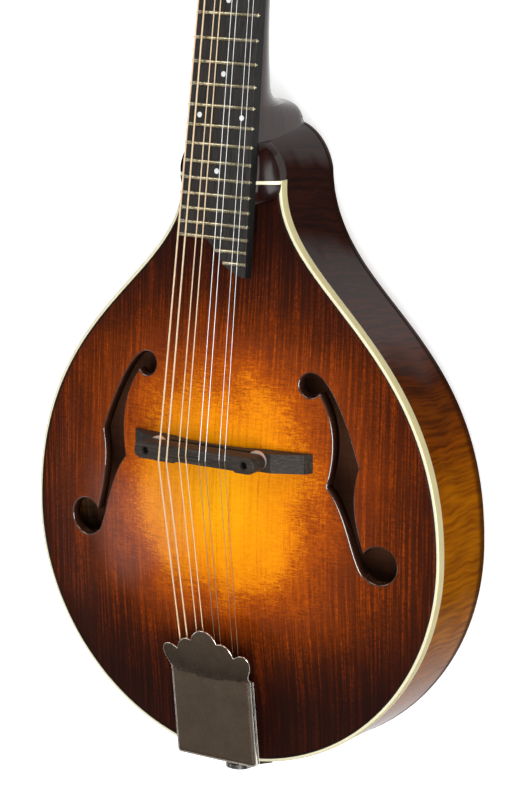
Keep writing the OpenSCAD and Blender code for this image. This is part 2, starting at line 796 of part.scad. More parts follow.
module nut() {
    color("ivory") lie_down() in_neck() difference() {
        translate([-nut_width / 2, nut_y, -board_t])
            cube([nut_width, nut_t, board_t + string_rise + nut_lip]);
        for (i = [0:string_count - 1])
            translate([nut_x[i] - string_d[i] / 2 - slot_gap, nut_y - over, string_rise - slot_gap])
                cube([string_d[i] + 2 * slot_gap, nut_t + 2 * over, nut_t]);
    }
}

// Tuners
module tuner_plate() {
    in_head() difference() {
        union() {
            translate([plate_x[0], plate_s[0], plate_back])
                cube([plate_x[1] - plate_x[0], plate_s[1] - plate_s[0], plate_t]);
            for (k = [4:7], end = [-1, 1])
                translate([post_x + end * tab_x - tab_t / 2, tuner_post_s(k) + worm_s - tab_w / 2, tab_low])
                    cube([tab_t, tab_w, plate_back - tab_low + plate_t / 2]);
        }
        for (k = [4:7]) {
            translate([post_x, tuner_post_s(k), plate_back - over])
                cylinder(h = plate_t + 2 * over, r = post_r + running_gap, $fn = fine);
            translate([post_x - 2 * tab_x, tuner_post_s(k) + worm_s, worm_z]) rotate([0, 90, 0])
                cylinder(h = 4 * tab_x, r = worm_journal_r + running_gap, $fn = fine);
        }
        for (s = plate_screw_s)
            translate([plate_screw_x, s, plate_back - over])
                cylinder(h = plate_t + 2 * over, r = screw_shank_r + fit_gap, $fn = fine);
    }
}
module treble_tuner_plate() {
    color("gainsboro") lie_down() tuner_plate();
}
module bass_tuner_plate() {
    color("gainsboro") lie_down() mirror([1, 0, 0]) tuner_plate();
}
module tuner_bushings() {
    bore = post_r + running_gap;
    bottom = headplate_t - bushing_depth;
    top = headplate_t + bushing_flange_t;
    color("gainsboro") lie_down() each_post() rotate_extrude($fn = fine) polygon([
        [bore, bottom], [bushing_r, bottom], [bushing_r, headplate_t], [bushing_flange_r, headplate_t],
        [bushing_flange_r - bushing_flange_t / 3, top], [bore, top]]);
}
// A flat gear with a gap between teeth towards +y
module gear_shape() {
    step = 360 / gear_teeth;
    function at(radius, half, turn) =
        let (a = asin(half / radius)) radius * [cos(turn + a), sin(turn + a)];
    root = gear_r - tooth_down;
    tip = gear_r + tooth_up;
    root_half = tooth_half + tooth_down * tooth_slant;
    tip_half = tooth_half - tooth_up * tooth_slant;
    polygon([for (k = [0:gear_teeth - 1]) let (turn = (k + 0.5) * step)
        each [at(root, -root_half, turn), at(tip, -tip_half, turn), at(tip, tip_half, turn),
              at(root, root_half, turn)]]);
}
module string_post(k) {
    gear_low = worm_z - gear_t / 2;
    post_profile = [
        [0, gear_low - post_stub], [post_stub_r, gear_low - post_stub], [post_stub_r, worm_z],
        [post_r, worm_z], [post_r, waist_from - waist_edge], [post_waist_r, waist_from],
        [post_waist_r, waist_to], [post_r, waist_to + waist_edge], [post_r, post_top - post_round],
        [post_r - post_round, post_top], [0, post_top]];
    color("gainsboro") lie_down() in_head() translate([tuner_side[k - 1] * post_x, tuner_post_s(k - 1), 0]) {
        difference() {
            rotate_extrude($fn = fine) polygon(post_profile);
            translate([0, 0, waist_to - post_hole_r]) rotate([90, 0, 0])
                cylinder(h = 4 * post_r, r = post_hole_r, center = true, $fn = fine);
        }
        translate([0, 0, gear_low]) linear_extrude(gear_t) gear_shape();
    }
}
// The worm's thread: a slanted ridge that turns about the x axis
module worm_thread() {
    half_turns = worm_turns / 2;
    count = worm_turns * worm_turn_steps;
    tip = worm_r + tooth_up;
    low = worm_core_r - worm_root;
    low_half = tooth_half + (worm_r - low) * tooth_slant;
    tip_half = tooth_half - tooth_up * tooth_slant;
    profile = [[low, -low_half], [tip, -tip_half], [tip, tip_half], [low, low_half]];
    verts = [for (i = [0:count]) let (turn = 360 * (i / worm_turn_steps - half_turns)) for (p = profile)
        [worm_pitch * turn / 360 + p[1], -p[0] * cos(turn), -p[0] * sin(turn)]];
    function at(i, s) = i * 4 + s % 4;
    walls = [for (i = [0:count - 1]) for (s = [0:3])
        each [[at(i, s), at(i + 1, s + 1), at(i + 1, s)], [at(i, s), at(i, s + 1), at(i + 1, s + 1)]]];
    polyhedron(verts, concat(walls, [[0, 2, 1], [0, 3, 2]],
        [[at(count, 0), at(count, 1), at(count, 2)], [at(count, 0), at(count, 2), at(count, 3)]]));
}
module at_worm(k) {
    in_head() translate([tuner_side[k - 1] * post_x, tuner_post_s(k - 1) + worm_s, worm_z]) children();
}
// Along the worm's axis, away from the headstock's middle
module along_worm(k) {
    at_worm(k) mirror([tuner_side[k - 1] < 0 ? 1 : 0, 0, 0]) rotate([0, 90, 0]) children();
}
module worm_shaft(k) {
    color("gainsboro") lie_down() {
        at_worm(k) worm_thread();
        along_worm(k) {
            translate([0, 0, -shaft_in])
                cylinder(h = shaft_in + button_from + button_bore, r = worm_journal_r, $fn = fine);
            translate([0, 0, -worm_core_half]) cylinder(h = 2 * worm_core_half, r = worm_core_r, $fn = fine);
        }
    }
}
module tuner_button(k) {
    half = button_length / 2;
    bulge = [for (i = [0:button_steps])
        let (a = -70 + 160 * i / button_steps)
        [button_r - button_edge + button_edge * cos(a), half + 1 + (half - 1) * sin(a)]];
    bore = [[0, button_length], [0, button_bore], [worm_journal_r, button_bore], [worm_journal_r, 0]];
    color("ivory") lie_down() along_worm(k) translate([0, 0, button_from])
        rotate_extrude($fn = fine) polygon(concat(button_collar, bulge, bore));
}

// Bridge
module bridge_base() {
    ys = [base_y - base_w / 2, base_y, base_y + base_w / 2];
    function foot_z(x) =
        max([for (y = ys) top_z(abs(x), y)]) + glue_gap + (abs(x) < foot_half ? foot_relief : 0);
    foot = [for (i = [0:base_steps]) let (x = base_half * (1 - 2 * i / base_steps)) [x, foot_z(x)]];
    top = [[-base_half + base_end_slope, base_end_z], [-base_mid_half, base_top_z],
           [base_mid_half, base_top_z], [base_half - base_end_slope, base_end_z]];
    color([0.18, 0.17, 0.16]) lie_down() difference() {
        translate([0, base_y, 0]) along_depth(base_w) polygon(concat(foot, top));
        at_studs() translate([0, 0, stud_bottom]) cylinder(h = far, r = stud_r + inlay_gap, $fn = fine);
    }
}
module at_studs() {
    for (side = [-1, 1]) translate([side * stud_x, bridge_y, 0]) children();
}
module bridge_studs() {
    color("silver") lie_down() at_studs()
        translate([0, 0, stud_bottom]) cylinder(h = stud_top - stud_bottom, r = stud_r, $fn = fine);
}
module thumbwheel(side) {
    step = 180 / wheel_teeth;
    rim = [for (k = [0:2 * wheel_teeth - 1])
        (wheel_r - wheel_notch * (k % 2)) * [cos(k * step), sin(k * step)]];
    color("gold") lie_down() translate([side * stud_x, bridge_y, wheel_z]) difference() {
        linear_extrude(wheel_t) polygon(rim);
        translate([0, 0, -over]) cylinder(h = wheel_t + 2 * over, r = stud_r + running_gap, $fn = fine);
    }
}
module bass_thumbwheel() { thumbwheel(-1); }
module treble_thumbwheel() { thumbwheel(1); }
module saddle_shape() {
    end_r = saddle_w / 2;
    square([2 * (saddle_half - end_r), saddle_w], center = true);
    for (side = [-1, 1]) translate([side * (saddle_half - end_r), 0]) circle(end_r, $fn = fine);
}
module bridge_saddle() {
    crest_step = crest_half / 2;
    half = saddle_w / 2;
    color([0.18, 0.17, 0.16]) lie_down() difference() {
        union() {
            translate([0, bridge_y, saddle_z]) linear_extrude(wing_z - saddle_z) saddle_shape();
            // One stepped ridge for each course of strings
            for (c = [0:3])
                translate([(c - 1.5) * crest_step, bridge_y, 0]) across_width(crest_step) polygon([
                    [-half, wing_z - over], [half, wing_z - over], [half, wing_z],
                    [course_shift[c] + crest_edge, crest_z], [course_shift[c] - crest_edge, crest_z],
                    [-half, wing_z]]);
        }
        at_studs() translate([0, 0, saddle_z - over]) cylinder(h = far, r = stud_r + stud_gap, $fn = fine);
        for (i = [0:string_count - 1])
            for (end = [hook_point(i), nut_point(i)])
                notch(saddle_point(i), end, string_d[i] / 2 + slot_gap);
    }
}
// A slot for a string on its way from one point to another, open upwards
module notch(from, to, half) {
    way = to - from;
    translate(from) rotate([0, 0, atan2(way[1], way[0]) - 90])
        rotate([atan2(way[2], norm([way[0], way[1]])), 0, 0])
            translate([-half, -half, -half]) cube([2 * half, 2 * saddle_w, saddle_w]);
}

// Tailpiece
module tailpiece_cover() {
    crease = cover_flange_length;
    face = [[cover_half, 0], [cover_half, crease]];
    front = [for (p = chain(cover_curves, cover_steps)) p + [0, cover_length - crease]];
    color([0.35, 0.31, 0.26]) lie_down() in_cover() {
        translate([0, 0, -cover_t]) linear_extrude(cover_t) polygon(both_sides(face));
        translate([0, crease, 0]) rotate([cover_bend, 0, 0]) translate([0, 0, -cover_t])
            linear_extrude(cover_t) polygon(both_sides(concat([[cover_half, -cover_t / 2]], front)));
        for (side = [-1, 1]) mirror([side < 0 ? 1 : 0, 0, 0])
            translate([cover_half - cover_t, 0, -cover_flange])
                cube([cover_t, cover_flange_length, cover_flange]);
    }
}
module tailpiece_base() {
    foot_y = tail_plate_y - tail_base_t;
    ramp_y = cover_tail[0] + tail_ramp;
    seat_end = cover_tail[0] + tail_base_length;
    rim_z = tail_rim_gap + tail_base_t;
    function seat_z(y) = cover_tail[1] + (y - cover_tail[0]) * tan(cover_slope) - tail_base_drop;
    seat_side = [
        [ramp_y, seat_z(ramp_y)], [seat_end, seat_z(seat_end)], [seat_end, seat_z(seat_end) - tail_base_t],
        [ramp_y, seat_z(ramp_y) - tail_base_t]];
    // Down from the seat, over the rim and onto the tail
    ramp_side = [
        [foot_y, -over], [foot_y, tail_rim_gap], [tail_plate_y, rim_z], [tail_rim_y, rim_z],
        [ramp_y, seat_z(ramp_y)], [ramp_y + over, seat_z(ramp_y + over)],
        [ramp_y + over, seat_z(ramp_y) - tail_base_t], [tail_rim_y + over / 2, tail_rim_gap],
        [tail_plate_y, tail_rim_gap], [tail_plate_y, -over]];
    color([0.3, 0.27, 0.23]) lie_down() difference() {
        union() {
            across_width(2 * tail_base_half) polygon(seat_side);
            across_width(2 * tail_rim_half) polygon(ramp_side);
            translate([0, foot_y + tail_base_t / 2, 0]) along_depth(tail_base_t)
                polygon(concat(tail_plate, mirrored(reversed(tail_plate))));
            for (side = [-1, 1]) mirror([side < 0 ? 1 : 0, 0, 0]) in_cover()
                translate([tail_base_half - tail_rail_t, tail_ramp, -tail_base_drop - tail_base_t / 2])
                    cube([tail_rail_t, tail_base_length - tail_ramp,
                          tail_base_drop + tail_base_t / 2 - cover_t - running_gap]);
            for (x = hook_x) in_cover() translate([x, hook_at, -tail_base_drop - hook_root])
                cylinder(h = hook_h + hook_root, r = hook_r, $fn = fine);
        }
        tail_bores();
    }
}
module tail_screw_place(p) {
    translate([p[0], tail_plate_y - tail_base_t, p[1]]) rotate([90, 0, 0]) children();
}
module tailpiece_screws() {
    color("silver") lie_down() for (p = tail_screw_at) tail_screw_place(p) screw(tail_screw_length);
}
// The holes of the strap button and the screws, through tailpiece, ribs and tail block
module tail_bores() {
    for (p = tail_screw_at) tail_screw_place(p) screw_bore(tail_screw_length);
    tail_screw_place([0, strap_z]) translate([0, 0, -strap_peg - over])
        cylinder(h = strap_peg + 2 * over, r = strap_peg_r + fit_gap, $fn = fine);
}
module strap_button() {
    color([0.3, 0.27, 0.23]) lie_down() tail_screw_place([0, strap_z]) rotate_extrude($fn = fine) polygon([
        [0, -strap_peg], [strap_peg_r, -strap_peg], [strap_peg_r, 0], [strap_neck_r + 1, 0],
        [strap_neck_r, 2], [strap_neck_r, strap_neck_length - 0.6], [strap_r, strap_neck_length],
        [strap_r, strap_length - strap_edge], [strap_r - 2 * strap_edge, strap_length], [0, strap_length]]);
}

// Strings
function course(i) = floor(i / 2);
function saddle_point(i) =
    [saddle_x[i], bridge_y + course_shift[course(i)], crest_z + string_sink * string_d[i]];
function nut_point(i) = on_neck([nut_x[i], nut_y, string_rise + string_d[i] / 2]);
function hook_point(i) =
    let (s = hook_at + hook_r + fit_gap, up = hook_h / 2 - tail_base_drop)
    [hook_x[i], cover_tail[0] + s * cos(cover_slope) - up * sin(cover_slope),
     cover_tail[1] + s * sin(cover_slope) + up * cos(cover_slope)];
// Which tuner each string goes to: outer strings to the posts nearest the nut
string_tuner = [0, 1, 2, 3, 7, 6, 5, 4];
function wind_radius(i) = post_waist_r + running_gap + string_d[i] / 2;
// The string's turns on its post, from the inner side of the post upwards
function winding(i) =
    let (k = string_tuner[i], side = string_side[i], count = turns[i] * turn_rings)
    [for (j = [0:count])
        let (a = 360 * j / turn_rings)
        on_head([side * (post_x - wind_radius(i) * cos(a)), tuner_post_s(k) + wind_radius(i) * sin(a),
                 wind_z + (string_d[i] + turn_gap) * j / turn_rings])];
function string_path(i) = concat(
    [hook_point(i), saddle_point(i), nut_point(i),
     on_neck([nut_x[i], nut_y + nut_t, string_rise + string_d[i] / 2])],
    winding(i));
function turn_clearance(i) =
    let (p = winding(i), n = len(p))
    min([for (a = [0:n - 1]) for (b = [a + 1:n - 1]) if (b - a > turn_rings / 2) norm(p[a] - p[b])])
    - string_d[i];
echo(least_gap_between_string_turns = min([for (i = [0:string_count - 1]) turn_clearance(i)]));
module wound_strings() {
    color("peru") lie_down() for (i = [0:3]) tube(string_path(i), string_d[i] / 2);
}
module plain_strings() {
    color("silver") lie_down() for (i = [4:7]) tube(string_path(i), string_d[i] / 2);
}

top_plate();
back_plate();
bass_rib();
treble_rib();
head_block();
tail_block();
top_lining();
back_lining();
tone_bars();
top_binding();
top_purfling();
neck();
neck_riser();
truss_rod();
truss_rod_nut();
truss_rod_cover();
headstock_screws();
fingerboard();
frets();
position_dots();
nut();
headplate();
bass_tuner_plate();
treble_tuner_plate();
tuner_bushings();
bridge_base();
bridge_saddle();
bridge_studs();
bass_thumbwheel();
treble_thumbwheel();
tailpiece_base();
tailpiece_cover();
tailpiece_screws();
strap_button();
wound_strings();
plain_strings();
for (k = [1:8]) string_post(k);
for (k = [1:8]) worm_shaft(k);
for (k = [1:8]) tuner_button(k);
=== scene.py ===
"""Looks of the mandolin: fine surfaces, materials, light and the photograph's camera."""
import json
import math

import bmesh
import bpy
import numpy as np
from mathutils import Matrix
from mathutils.geometry import delaunay_2d_cdt


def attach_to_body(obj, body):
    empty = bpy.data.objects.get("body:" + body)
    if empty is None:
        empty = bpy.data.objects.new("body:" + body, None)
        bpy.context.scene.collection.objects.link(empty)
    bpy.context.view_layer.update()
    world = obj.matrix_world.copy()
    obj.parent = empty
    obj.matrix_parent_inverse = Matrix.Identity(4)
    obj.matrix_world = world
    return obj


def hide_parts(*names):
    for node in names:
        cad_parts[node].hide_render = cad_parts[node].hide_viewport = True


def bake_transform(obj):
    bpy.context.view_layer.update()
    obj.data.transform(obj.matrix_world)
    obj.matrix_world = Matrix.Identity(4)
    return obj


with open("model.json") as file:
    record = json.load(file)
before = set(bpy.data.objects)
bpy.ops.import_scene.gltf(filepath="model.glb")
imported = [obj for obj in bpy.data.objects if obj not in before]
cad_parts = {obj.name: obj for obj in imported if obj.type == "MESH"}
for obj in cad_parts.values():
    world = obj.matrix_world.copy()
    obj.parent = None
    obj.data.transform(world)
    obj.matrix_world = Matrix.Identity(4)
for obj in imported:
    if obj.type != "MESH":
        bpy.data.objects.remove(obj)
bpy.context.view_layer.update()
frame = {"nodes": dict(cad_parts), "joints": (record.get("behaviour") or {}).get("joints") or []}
nodes = frame["nodes"]
joints = {joint["name"]: joint for joint in frame["joints"]}


def tipped(points, angle):
    """Points turned about the x axis, from y towards z."""
    p = np.asarray(points, float)
    c, s = math.cos(angle), math.sin(angle)
    return np.stack([p[..., 0], p[..., 1] * c - p[..., 2] * s, p[..., 1] * s + p[..., 2] * c], -1)


# Work frame of the CAD source, in mm: x to the treble side, y to the head, z out of the
# top, zero on the centre line at the body joint. The bridge's joints tell how it lies.
BRIDGE_Y = -147.0
STUD_X = 31.5
WHEEL_Z = 22.3
UP = joints["saddle_lift"]["axis"]
TILT = math.atan2(-UP[1], UP[2])
SHIFT = 1000 * np.array(joints["treble_wheel_turn"]["pos_m"]) - tipped([STUD_X, BRIDGE_Y, WHEEL_Z], TILT)


def laid(points):
    """Work-frame points in mm as row-frame points in metres."""
    return (tipped(points, TILT) + SHIFT) / 1000


# Curves

def unit(vectors):
    """Vectors of length 1 in the same directions."""
    return vectors / np.linalg.norm(vectors, axis=-1, keepdims=True)


def bezier(curve, t):
    """Points on a cubic curve, at shares of the way along it."""
    c = np.array(curve, float)
    t = np.asarray(t, float)[:, None]
    return (1 - t) ** 3 * c[0] + 3 * t * (1 - t) ** 2 * c[1] + 3 * t * t * (1 - t) * c[2] + t ** 3 * c[3]


def chain(curves, count):
    """Points along curves that follow one another, equally many on each."""
    rows = [bezier(c, np.arange(count) / count) for c in curves]
    return np.vstack(rows + [np.array([curves[-1][3]], float)])


def inward(path, distance):
    """The path moved to its right-hand side."""
    along = unit(np.gradient(path, axis=0))
    return path + distance * np.c_[along[:, 1], -along[:, 0]]


def mirrored(path):
    return path * [-1, 1]


def both_sides(half):
    return np.vstack([half, mirrored(half[-2::-1])])


def between(a, b, count):
    """Points at equal distances from one point to another."""
    return a + (b - a) * np.linspace(0, 1, count)[:, None]


def arc(centre, radius, start, stop, count):
    """Points on a circle, between two angles in degrees."""
    a = np.radians(np.linspace(start, stop, count))
    return np.c_[centre[0] + radius * np.cos(a), centre[1] + radius * np.sin(a)]


def arc_length(path):
    return np.concatenate([[0], np.cumsum(np.linalg.norm(np.diff(path, axis=0), axis=1))])


# Body dimensions, as in the CAD source
HALF_WIDTH = 130.0
BODY_LENGTH = 327.0
NECK_HALF = 32.0
BELLY_Y = -0.6 * BODY_LENGTH
RIM_DEPTH = 48.4
BINDING_W = 1.8
BINDING_H = 5.2
PURFLING_W = 0.6
PURFLING_IN = BINDING_W + PURFLING_W
RIB_INSET = 0.3
RIB_T = 2.5
BACK_OVERHANG = 1.5
BACK_EDGE_T = 4.5
RIB_BOTTOM = BACK_EDGE_T - RIM_DEPTH
SHOULDER = [(13, 24.6), (20, 21.2), (NECK_HALF, 14), (NECK_HALF, 0)]
UPPER = [(NECK_HALF, 0), (27, -58), (HALF_WIDTH, -77), (HALF_WIDTH, BELLY_Y)]
LOWER = [(HALF_WIDTH, BELLY_Y), (HALF_WIDTH, -267), (72, -BODY_LENGTH), (0, -BODY_LENGTH)]
BACK_NECK_HALF = NECK_HALF + 1.7
BACK_SHOULDER = [(13, 24.6), (28, 21.8), (BACK_NECK_HALF, 5.8), (BACK_NECK_HALF, 0)]
BACK_UPPER = [(BACK_NECK_HALF, 0), (37, -72), (HALF_WIDTH, -77), (HALF_WIDTH, BELLY_Y)]
BUTTON = [(0, 36.5), (8, 36.5), (11, 29), (14, 25.6)]
FINE = 72
top_path = both_sides(chain([UPPER, LOWER], FINE))
wall_half = chain([SHOULDER, UPPER, LOWER], FINE)
back_wall_half = chain([BACK_SHOULDER, BACK_UPPER, LOWER], FINE)

# Arches of top and back
ARCH_MIDDLE = np.array([0.0, -190.0])
ARCH_RIM = 0.97
LEDGE_RIM = 0.9
TOP_ARCH = 15.5
TOP_INSIDE_ARCH = 15.9
BACK_ARCH = 13.0
BACK_INSIDE_ARCH = 12.0
ARCH_POWER = 0.8
TOP_BLUR = 4
BACK_BLUR = 8
DIRECTION_STEP = 0.5


def edge_reach(outline, blur):
    """Distance from the arch's middle to the outline by direction, evened out over blur degrees."""
    v = outline - ARCH_MIDDLE
    angle = np.degrees(np.arctan2(v[:, 0], v[:, 1]))
    directions = np.arange(-180, 180, DIRECTION_STEP)
    reach = np.interp(directions, angle, np.hypot(v[:, 0], v[:, 1]), period=360)
    offsets = np.arange(-3 * blur, 3 * blur + 0.1, DIRECTION_STEP)
    weights = np.exp(-0.5 * (offsets / blur) ** 2)
    weights /= weights.sum()
    wide = np.interp(directions[:, None] + offsets, directions, reach, period=360)
    return directions, wide @ weights


def edge_share(x, y, reach):
    """0 in the arch's middle, 1 at the outline."""
    direction = np.degrees(np.arctan2(x, y - ARCH_MIDDLE[1]))
    return np.hypot(x, y - ARCH_MIDDLE[1]) / np.interp(direction, reach[0], reach[1], period=360)


def arched(base, height, rim, reach):
    """A face at a base height, with an arch on it that runs out at the rim's share."""
    def face(x, y):
        share = np.minimum(edge_share(x, y, reach) / rim, 1)
        return base + height * ((1 + np.cos(np.pi * share)) / 2) ** ARCH_POWER
    return face


plate_edge = inward(top_path, PURFLING_IN)
plate_edge[:, 1] = np.minimum(plate_edge[:, 1], 0)
top_reach = edge_reach(plate_edge, TOP_BLUR)
back_reach = edge_reach(inward(both_sides(back_wall_half), -BACK_OVERHANG), BACK_BLUR)
top_z = arched(0.0, TOP_ARCH, ARCH_RIM, top_reach)
under_top_z = arched(-BINDING_H, TOP_INSIDE_ARCH, LEDGE_RIM, top_reach)
back_z = arched(-RIM_DEPTH, -BACK_ARCH, ARCH_RIM, back_reach)
over_back_z = arched(RIB_BOTTOM, -BACK_INSIDE_ARCH, LEDGE_RIM, back_reach)


# Mesh builders

# Kinds of a plate's faces, which are also the places of their materials
ABOVE, EDGE, BELOW = 0, 1, 2
CROSSED = 0.97  # a pushed point nearer to its loop than this share of the push has crossed over
ROW_STEP = 0.866  # share of a grid's spacing from row to row
RIM_GAP = 0.55  # share of a grid's spacing kept free along a rim
QUARTER_TURN = np.radians([0, 22, 45, 68, 90])


def within(points, loops):
    """Which points lie inside the first loop and outside the holes in it: those that have an odd number
    of the loops' sides to their right."""
    x, y = points.T
    result = np.zeros(len(points), bool)
    for loop in loops:
        for (x0, y0), (x1, y1) in zip(loop, np.roll(loop, -1, axis=0)):
            if y0 != y1:
                crosses = (y0 > y) != (y1 > y)
                result ^= crosses & (x < x0 + (y - y0) * (x1 - x0) / (y1 - y0))
    return result


def turned(loop, anticlockwise):
    x, y = loop.T
    area = np.sum(x * np.roll(y, -1) - np.roll(x, -1) * y)
    return loop if (area > 0) == anticlockwise else loop[::-1]


def pushed(loop, distance):
    """A closed loop moved to its left-hand side. In a tight corner, points that would cross over
    fall back on the last one before it."""
    along = unit(np.roll(loop, -1, axis=0) - np.roll(loop, 1, axis=0))
    moved = loop + distance * np.c_[-along[:, 1], along[:, 0]]
    gap = np.min(np.linalg.norm(moved[:, None] - loop[None], axis=2), axis=1)
    for i in np.flatnonzero(gap < CROSSED * distance):
        moved[i] = moved[i - 1]
    return moved


def ring_faces(first, second, count):
    """Quads between two rings of points that start at the given numbers."""
    return [(first + i, first + (i + 1) % count, second + (i + 1) % count, second + i) for i in range(count)]


def filled(loops, spacing):
    """Points and triangles that fill an outline with holes; the loops' points come first."""
    low, high = loops[0].min(axis=0), loops[0].max(axis=0)
    rows = []
    for k, y in enumerate(np.arange(low[1], high[1], spacing * ROW_STEP)):
        x = np.arange(low[0] + (k % 2) * spacing / 2, high[0], spacing)
        rows.append(np.c_[x, np.full(len(x), y)])
    grid = np.vstack(rows)
    grid = grid[within(grid, loops)]
    rim = np.vstack(loops)
    nearest = np.array([np.min(np.hypot(*(rim - p).T)) for p in grid])
    points = np.vstack([rim, grid[nearest > RIM_GAP * spacing]])
    edges, first = [], 0
    for loop in loops:
        edges += [(first + i, first + (i + 1) % len(loop)) for i in range(len(loop))]
        first += len(loop)
    _, _, triangles, origins, _, _ = delaunay_2d_cdt(points.tolist(), edges, [], 0, 1e-6)
    source = [ids[0] for ids in origins]
    triangles = [[source[i] for i in t] for t in triangles]
    centres = np.array([points[t].mean(axis=0) for t in triangles])
    return points, [t for t, keep in zip(triangles, within(centres, loops)) if keep]


def face_normals(points, height):
    """Upward normals of a height function, from its slopes over a short step."""
    step = 0.05
    x, y = points.T
    slope_x = (height(x + step, y) - height(x - step, y)) / (2 * step)
    slope_y = (height(x, y + step) - height(x, y - step)) / (2 * step)
    return unit(np.c_[-slope_x, -slope_y, np.ones(len(points))])


def plate(outline, holes, spacing, upper, lower, rounding, round_below=True):
    """A sheet between two faces, its edges rounded by the given radius. Returns its points, its faces,
    each face's kind, and each point's normal (zero on the edges)."""
    profile = [(rounding * (1 - math.sin(a)), rounding * (1 - math.cos(a))) for a in QUARTER_TURN]
    loops = [turned(outline, True)] + [turned(hole, False) for hole in holes]
    flat, triangles = filled([pushed(loop, rounding) for loop in loops], spacing)
    count = len(flat)
    x, y = flat.T
    points = [np.c_[x, y, upper(x, y)], np.c_[x, y, lower(x, y)]]
    faces = [tuple(t) for t in triangles] + [tuple(count + i for i in reversed(t)) for t in triangles]
    kinds = [ABOVE] * len(triangles) + [BELOW] * len(triangles)
    normals = np.vstack([face_normals(flat, upper), -face_normals(flat, lower)])
    total, first = 2 * count, 0
    for loop in loops:
        n = len(loop)
        rings = [(inset, upper, -drop) for inset, drop in profile[1:]]
        rings += [(inset, lower, drop) for inset, drop in (profile[:0:-1] if round_below else [(0.0, 0.0)])]
        rows = []
        for inset, face, shift in rings:
            p = pushed(loop, inset)
            rows.append(np.c_[p, face(*p.T) + shift])
        starts = [first] + [total + n * k for k in range(len(rows))] + [count + first]
        for a, b in zip(starts, starts[1:]):
            faces += ring_faces(a, b, n)
            kinds += [EDGE] * n
        points += rows
        total += n * len(rows)
        first += n
    return np.vstack(points), faces, kinds, np.vstack([normals, np.zeros((total - 2 * count, 3))])


def level(z):
    """A flat face for a plate."""
    return lambda x, y: np.full(len(x), z)


def sweep(corners):
    """A bar whose corners, in order round it, each follow a path at an inset and a height."""
    n, m = len(corners[0][0]), len(corners)
    points = np.vstack([np.c_[inward(path, inset), np.full(n, z)] for path, inset, z in corners])
    faces = [(k * n + i, k * n + i + 1, (k + 1) % m * n + i + 1, (k + 1) % m * n + i)
             for k in range(m) for i in range(n - 1)]
    faces += [tuple(k * n for k in range(m)), tuple(k * n + n - 1 for k in range(m))]
    return points, faces


def loft(sections):
    """A skin over closed sections of equally many points, with flat ends."""
    n = len(sections[0])
    points = np.vstack(sections)
    faces = []
    for k in range(len(sections) - 1):
        faces += ring_faces(k * n, (k + 1) * n, n)
    last = (len(sections) - 1) * n
    faces += [tuple(range(n)), tuple(last + i for i in reversed(range(n)))]
    return points, faces


def tube(path, radius, sides=10):
    """A round tube along points. Returns points, faces, and each point's place along and around it."""
    path = np.asarray(path, float)
    along = unit(np.gradient(path, axis=0))
    across = np.zeros_like(path)
    u = np.array([0.0, 0.0, 1.0])
    for i, heading in enumerate(along):
        u = unit(u - heading * (u @ heading))
        across[i] = u
    angles = np.linspace(0, 2 * np.pi, sides, endpoint=False)
    third = np.cross(along, across)
    rings = [p + radius * (np.cos(angles)[:, None] * a + np.sin(angles)[:, None] * b)
             for p, a, b in zip(path, across, third)]
    points, faces = loft(rings)
    lengthways = np.repeat(arc_length(path), sides)
    around = np.tile(angles * radius, len(path))
    return points, faces, np.c_[lengthways, around, 0 * around]


def joined(parts):
    """Several parts as one: points and faces, then what else each part carries for its points."""
    faces, first = [], 0
    for part in parts:
        faces += [tuple(first + i for i in face) for face in part[1]]
        first += len(part[0])
    carried = [np.concatenate([part[k] for part in parts]) for k in range(2, len(parts[0]))]
    return [np.vstack([part[0] for part in parts]), faces] + carried


def attach(mesh, name, numbers):
    """Gives each point of a mesh a number or a vector that its materials read."""
    numbers = np.asarray(numbers, np.float32)
    kind, field = ("FLOAT", "value") if numbers.ndim == 1 else ("FLOAT_VECTOR", "vector")
    mesh.attributes.new(name, kind, "POINT").data.foreach_set(field, numbers.ravel())


def added(name, data):
    """A new object in the scene."""
    item = bpy.data.objects.new(name, data)
    bpy.context.scene.collection.objects.link(item)
    return item


def piece(name, points, faces, materials, slot, replaced, kinds=None, grain=None, body="instrument",
          sharp=35, values=None, normals=None):
    """A mesh object from work-frame points, with its materials, riding on a body."""
    mesh = bpy.data.meshes.new(name)
    mesh.from_pydata(laid(points).tolist(), [], faces)
    for material in materials:
        mesh.materials.append(FINISHES[material])
    if kinds is not None:
        mesh.polygons.foreach_set("material_index", kinds)
    work = bmesh.new()
    work.from_mesh(mesh)
    bmesh.ops.recalc_face_normals(work, faces=work.faces)
    work.to_mesh(mesh)
    work.free()
    mesh.polygons.foreach_set("use_smooth", [True] * len(mesh.polygons))
    mesh.set_sharp_from_angle(angle=math.radians(sharp))
    attach(mesh, "grain", points if grain is None else grain)
    for key, numbers in (values or {}).items():
        attach(mesh, key, numbers)
    mesh.update()
    if normals is not None:
        mesh.normals_split_custom_set_from_vertices(tipped(normals, TILT).tolist())
    item = added(name, mesh)
    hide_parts(*replaced)
    if body:
        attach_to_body(item, body)
    return item


# Material builders

FINISHES = {}
NOISE_LOW, NOISE_HIGH = 0.3, 0.7


def colour(red, green, blue):
    """A colour as it shows on screen, 0 to 255, for a shader socket."""
    linear = [(c / 12.92 if c <= 0.04045 else ((c + 0.055) / 1.055) ** 2.4)
              for c in (red / 255, green / 255, blue / 255)]
    return (*linear, 1.0)


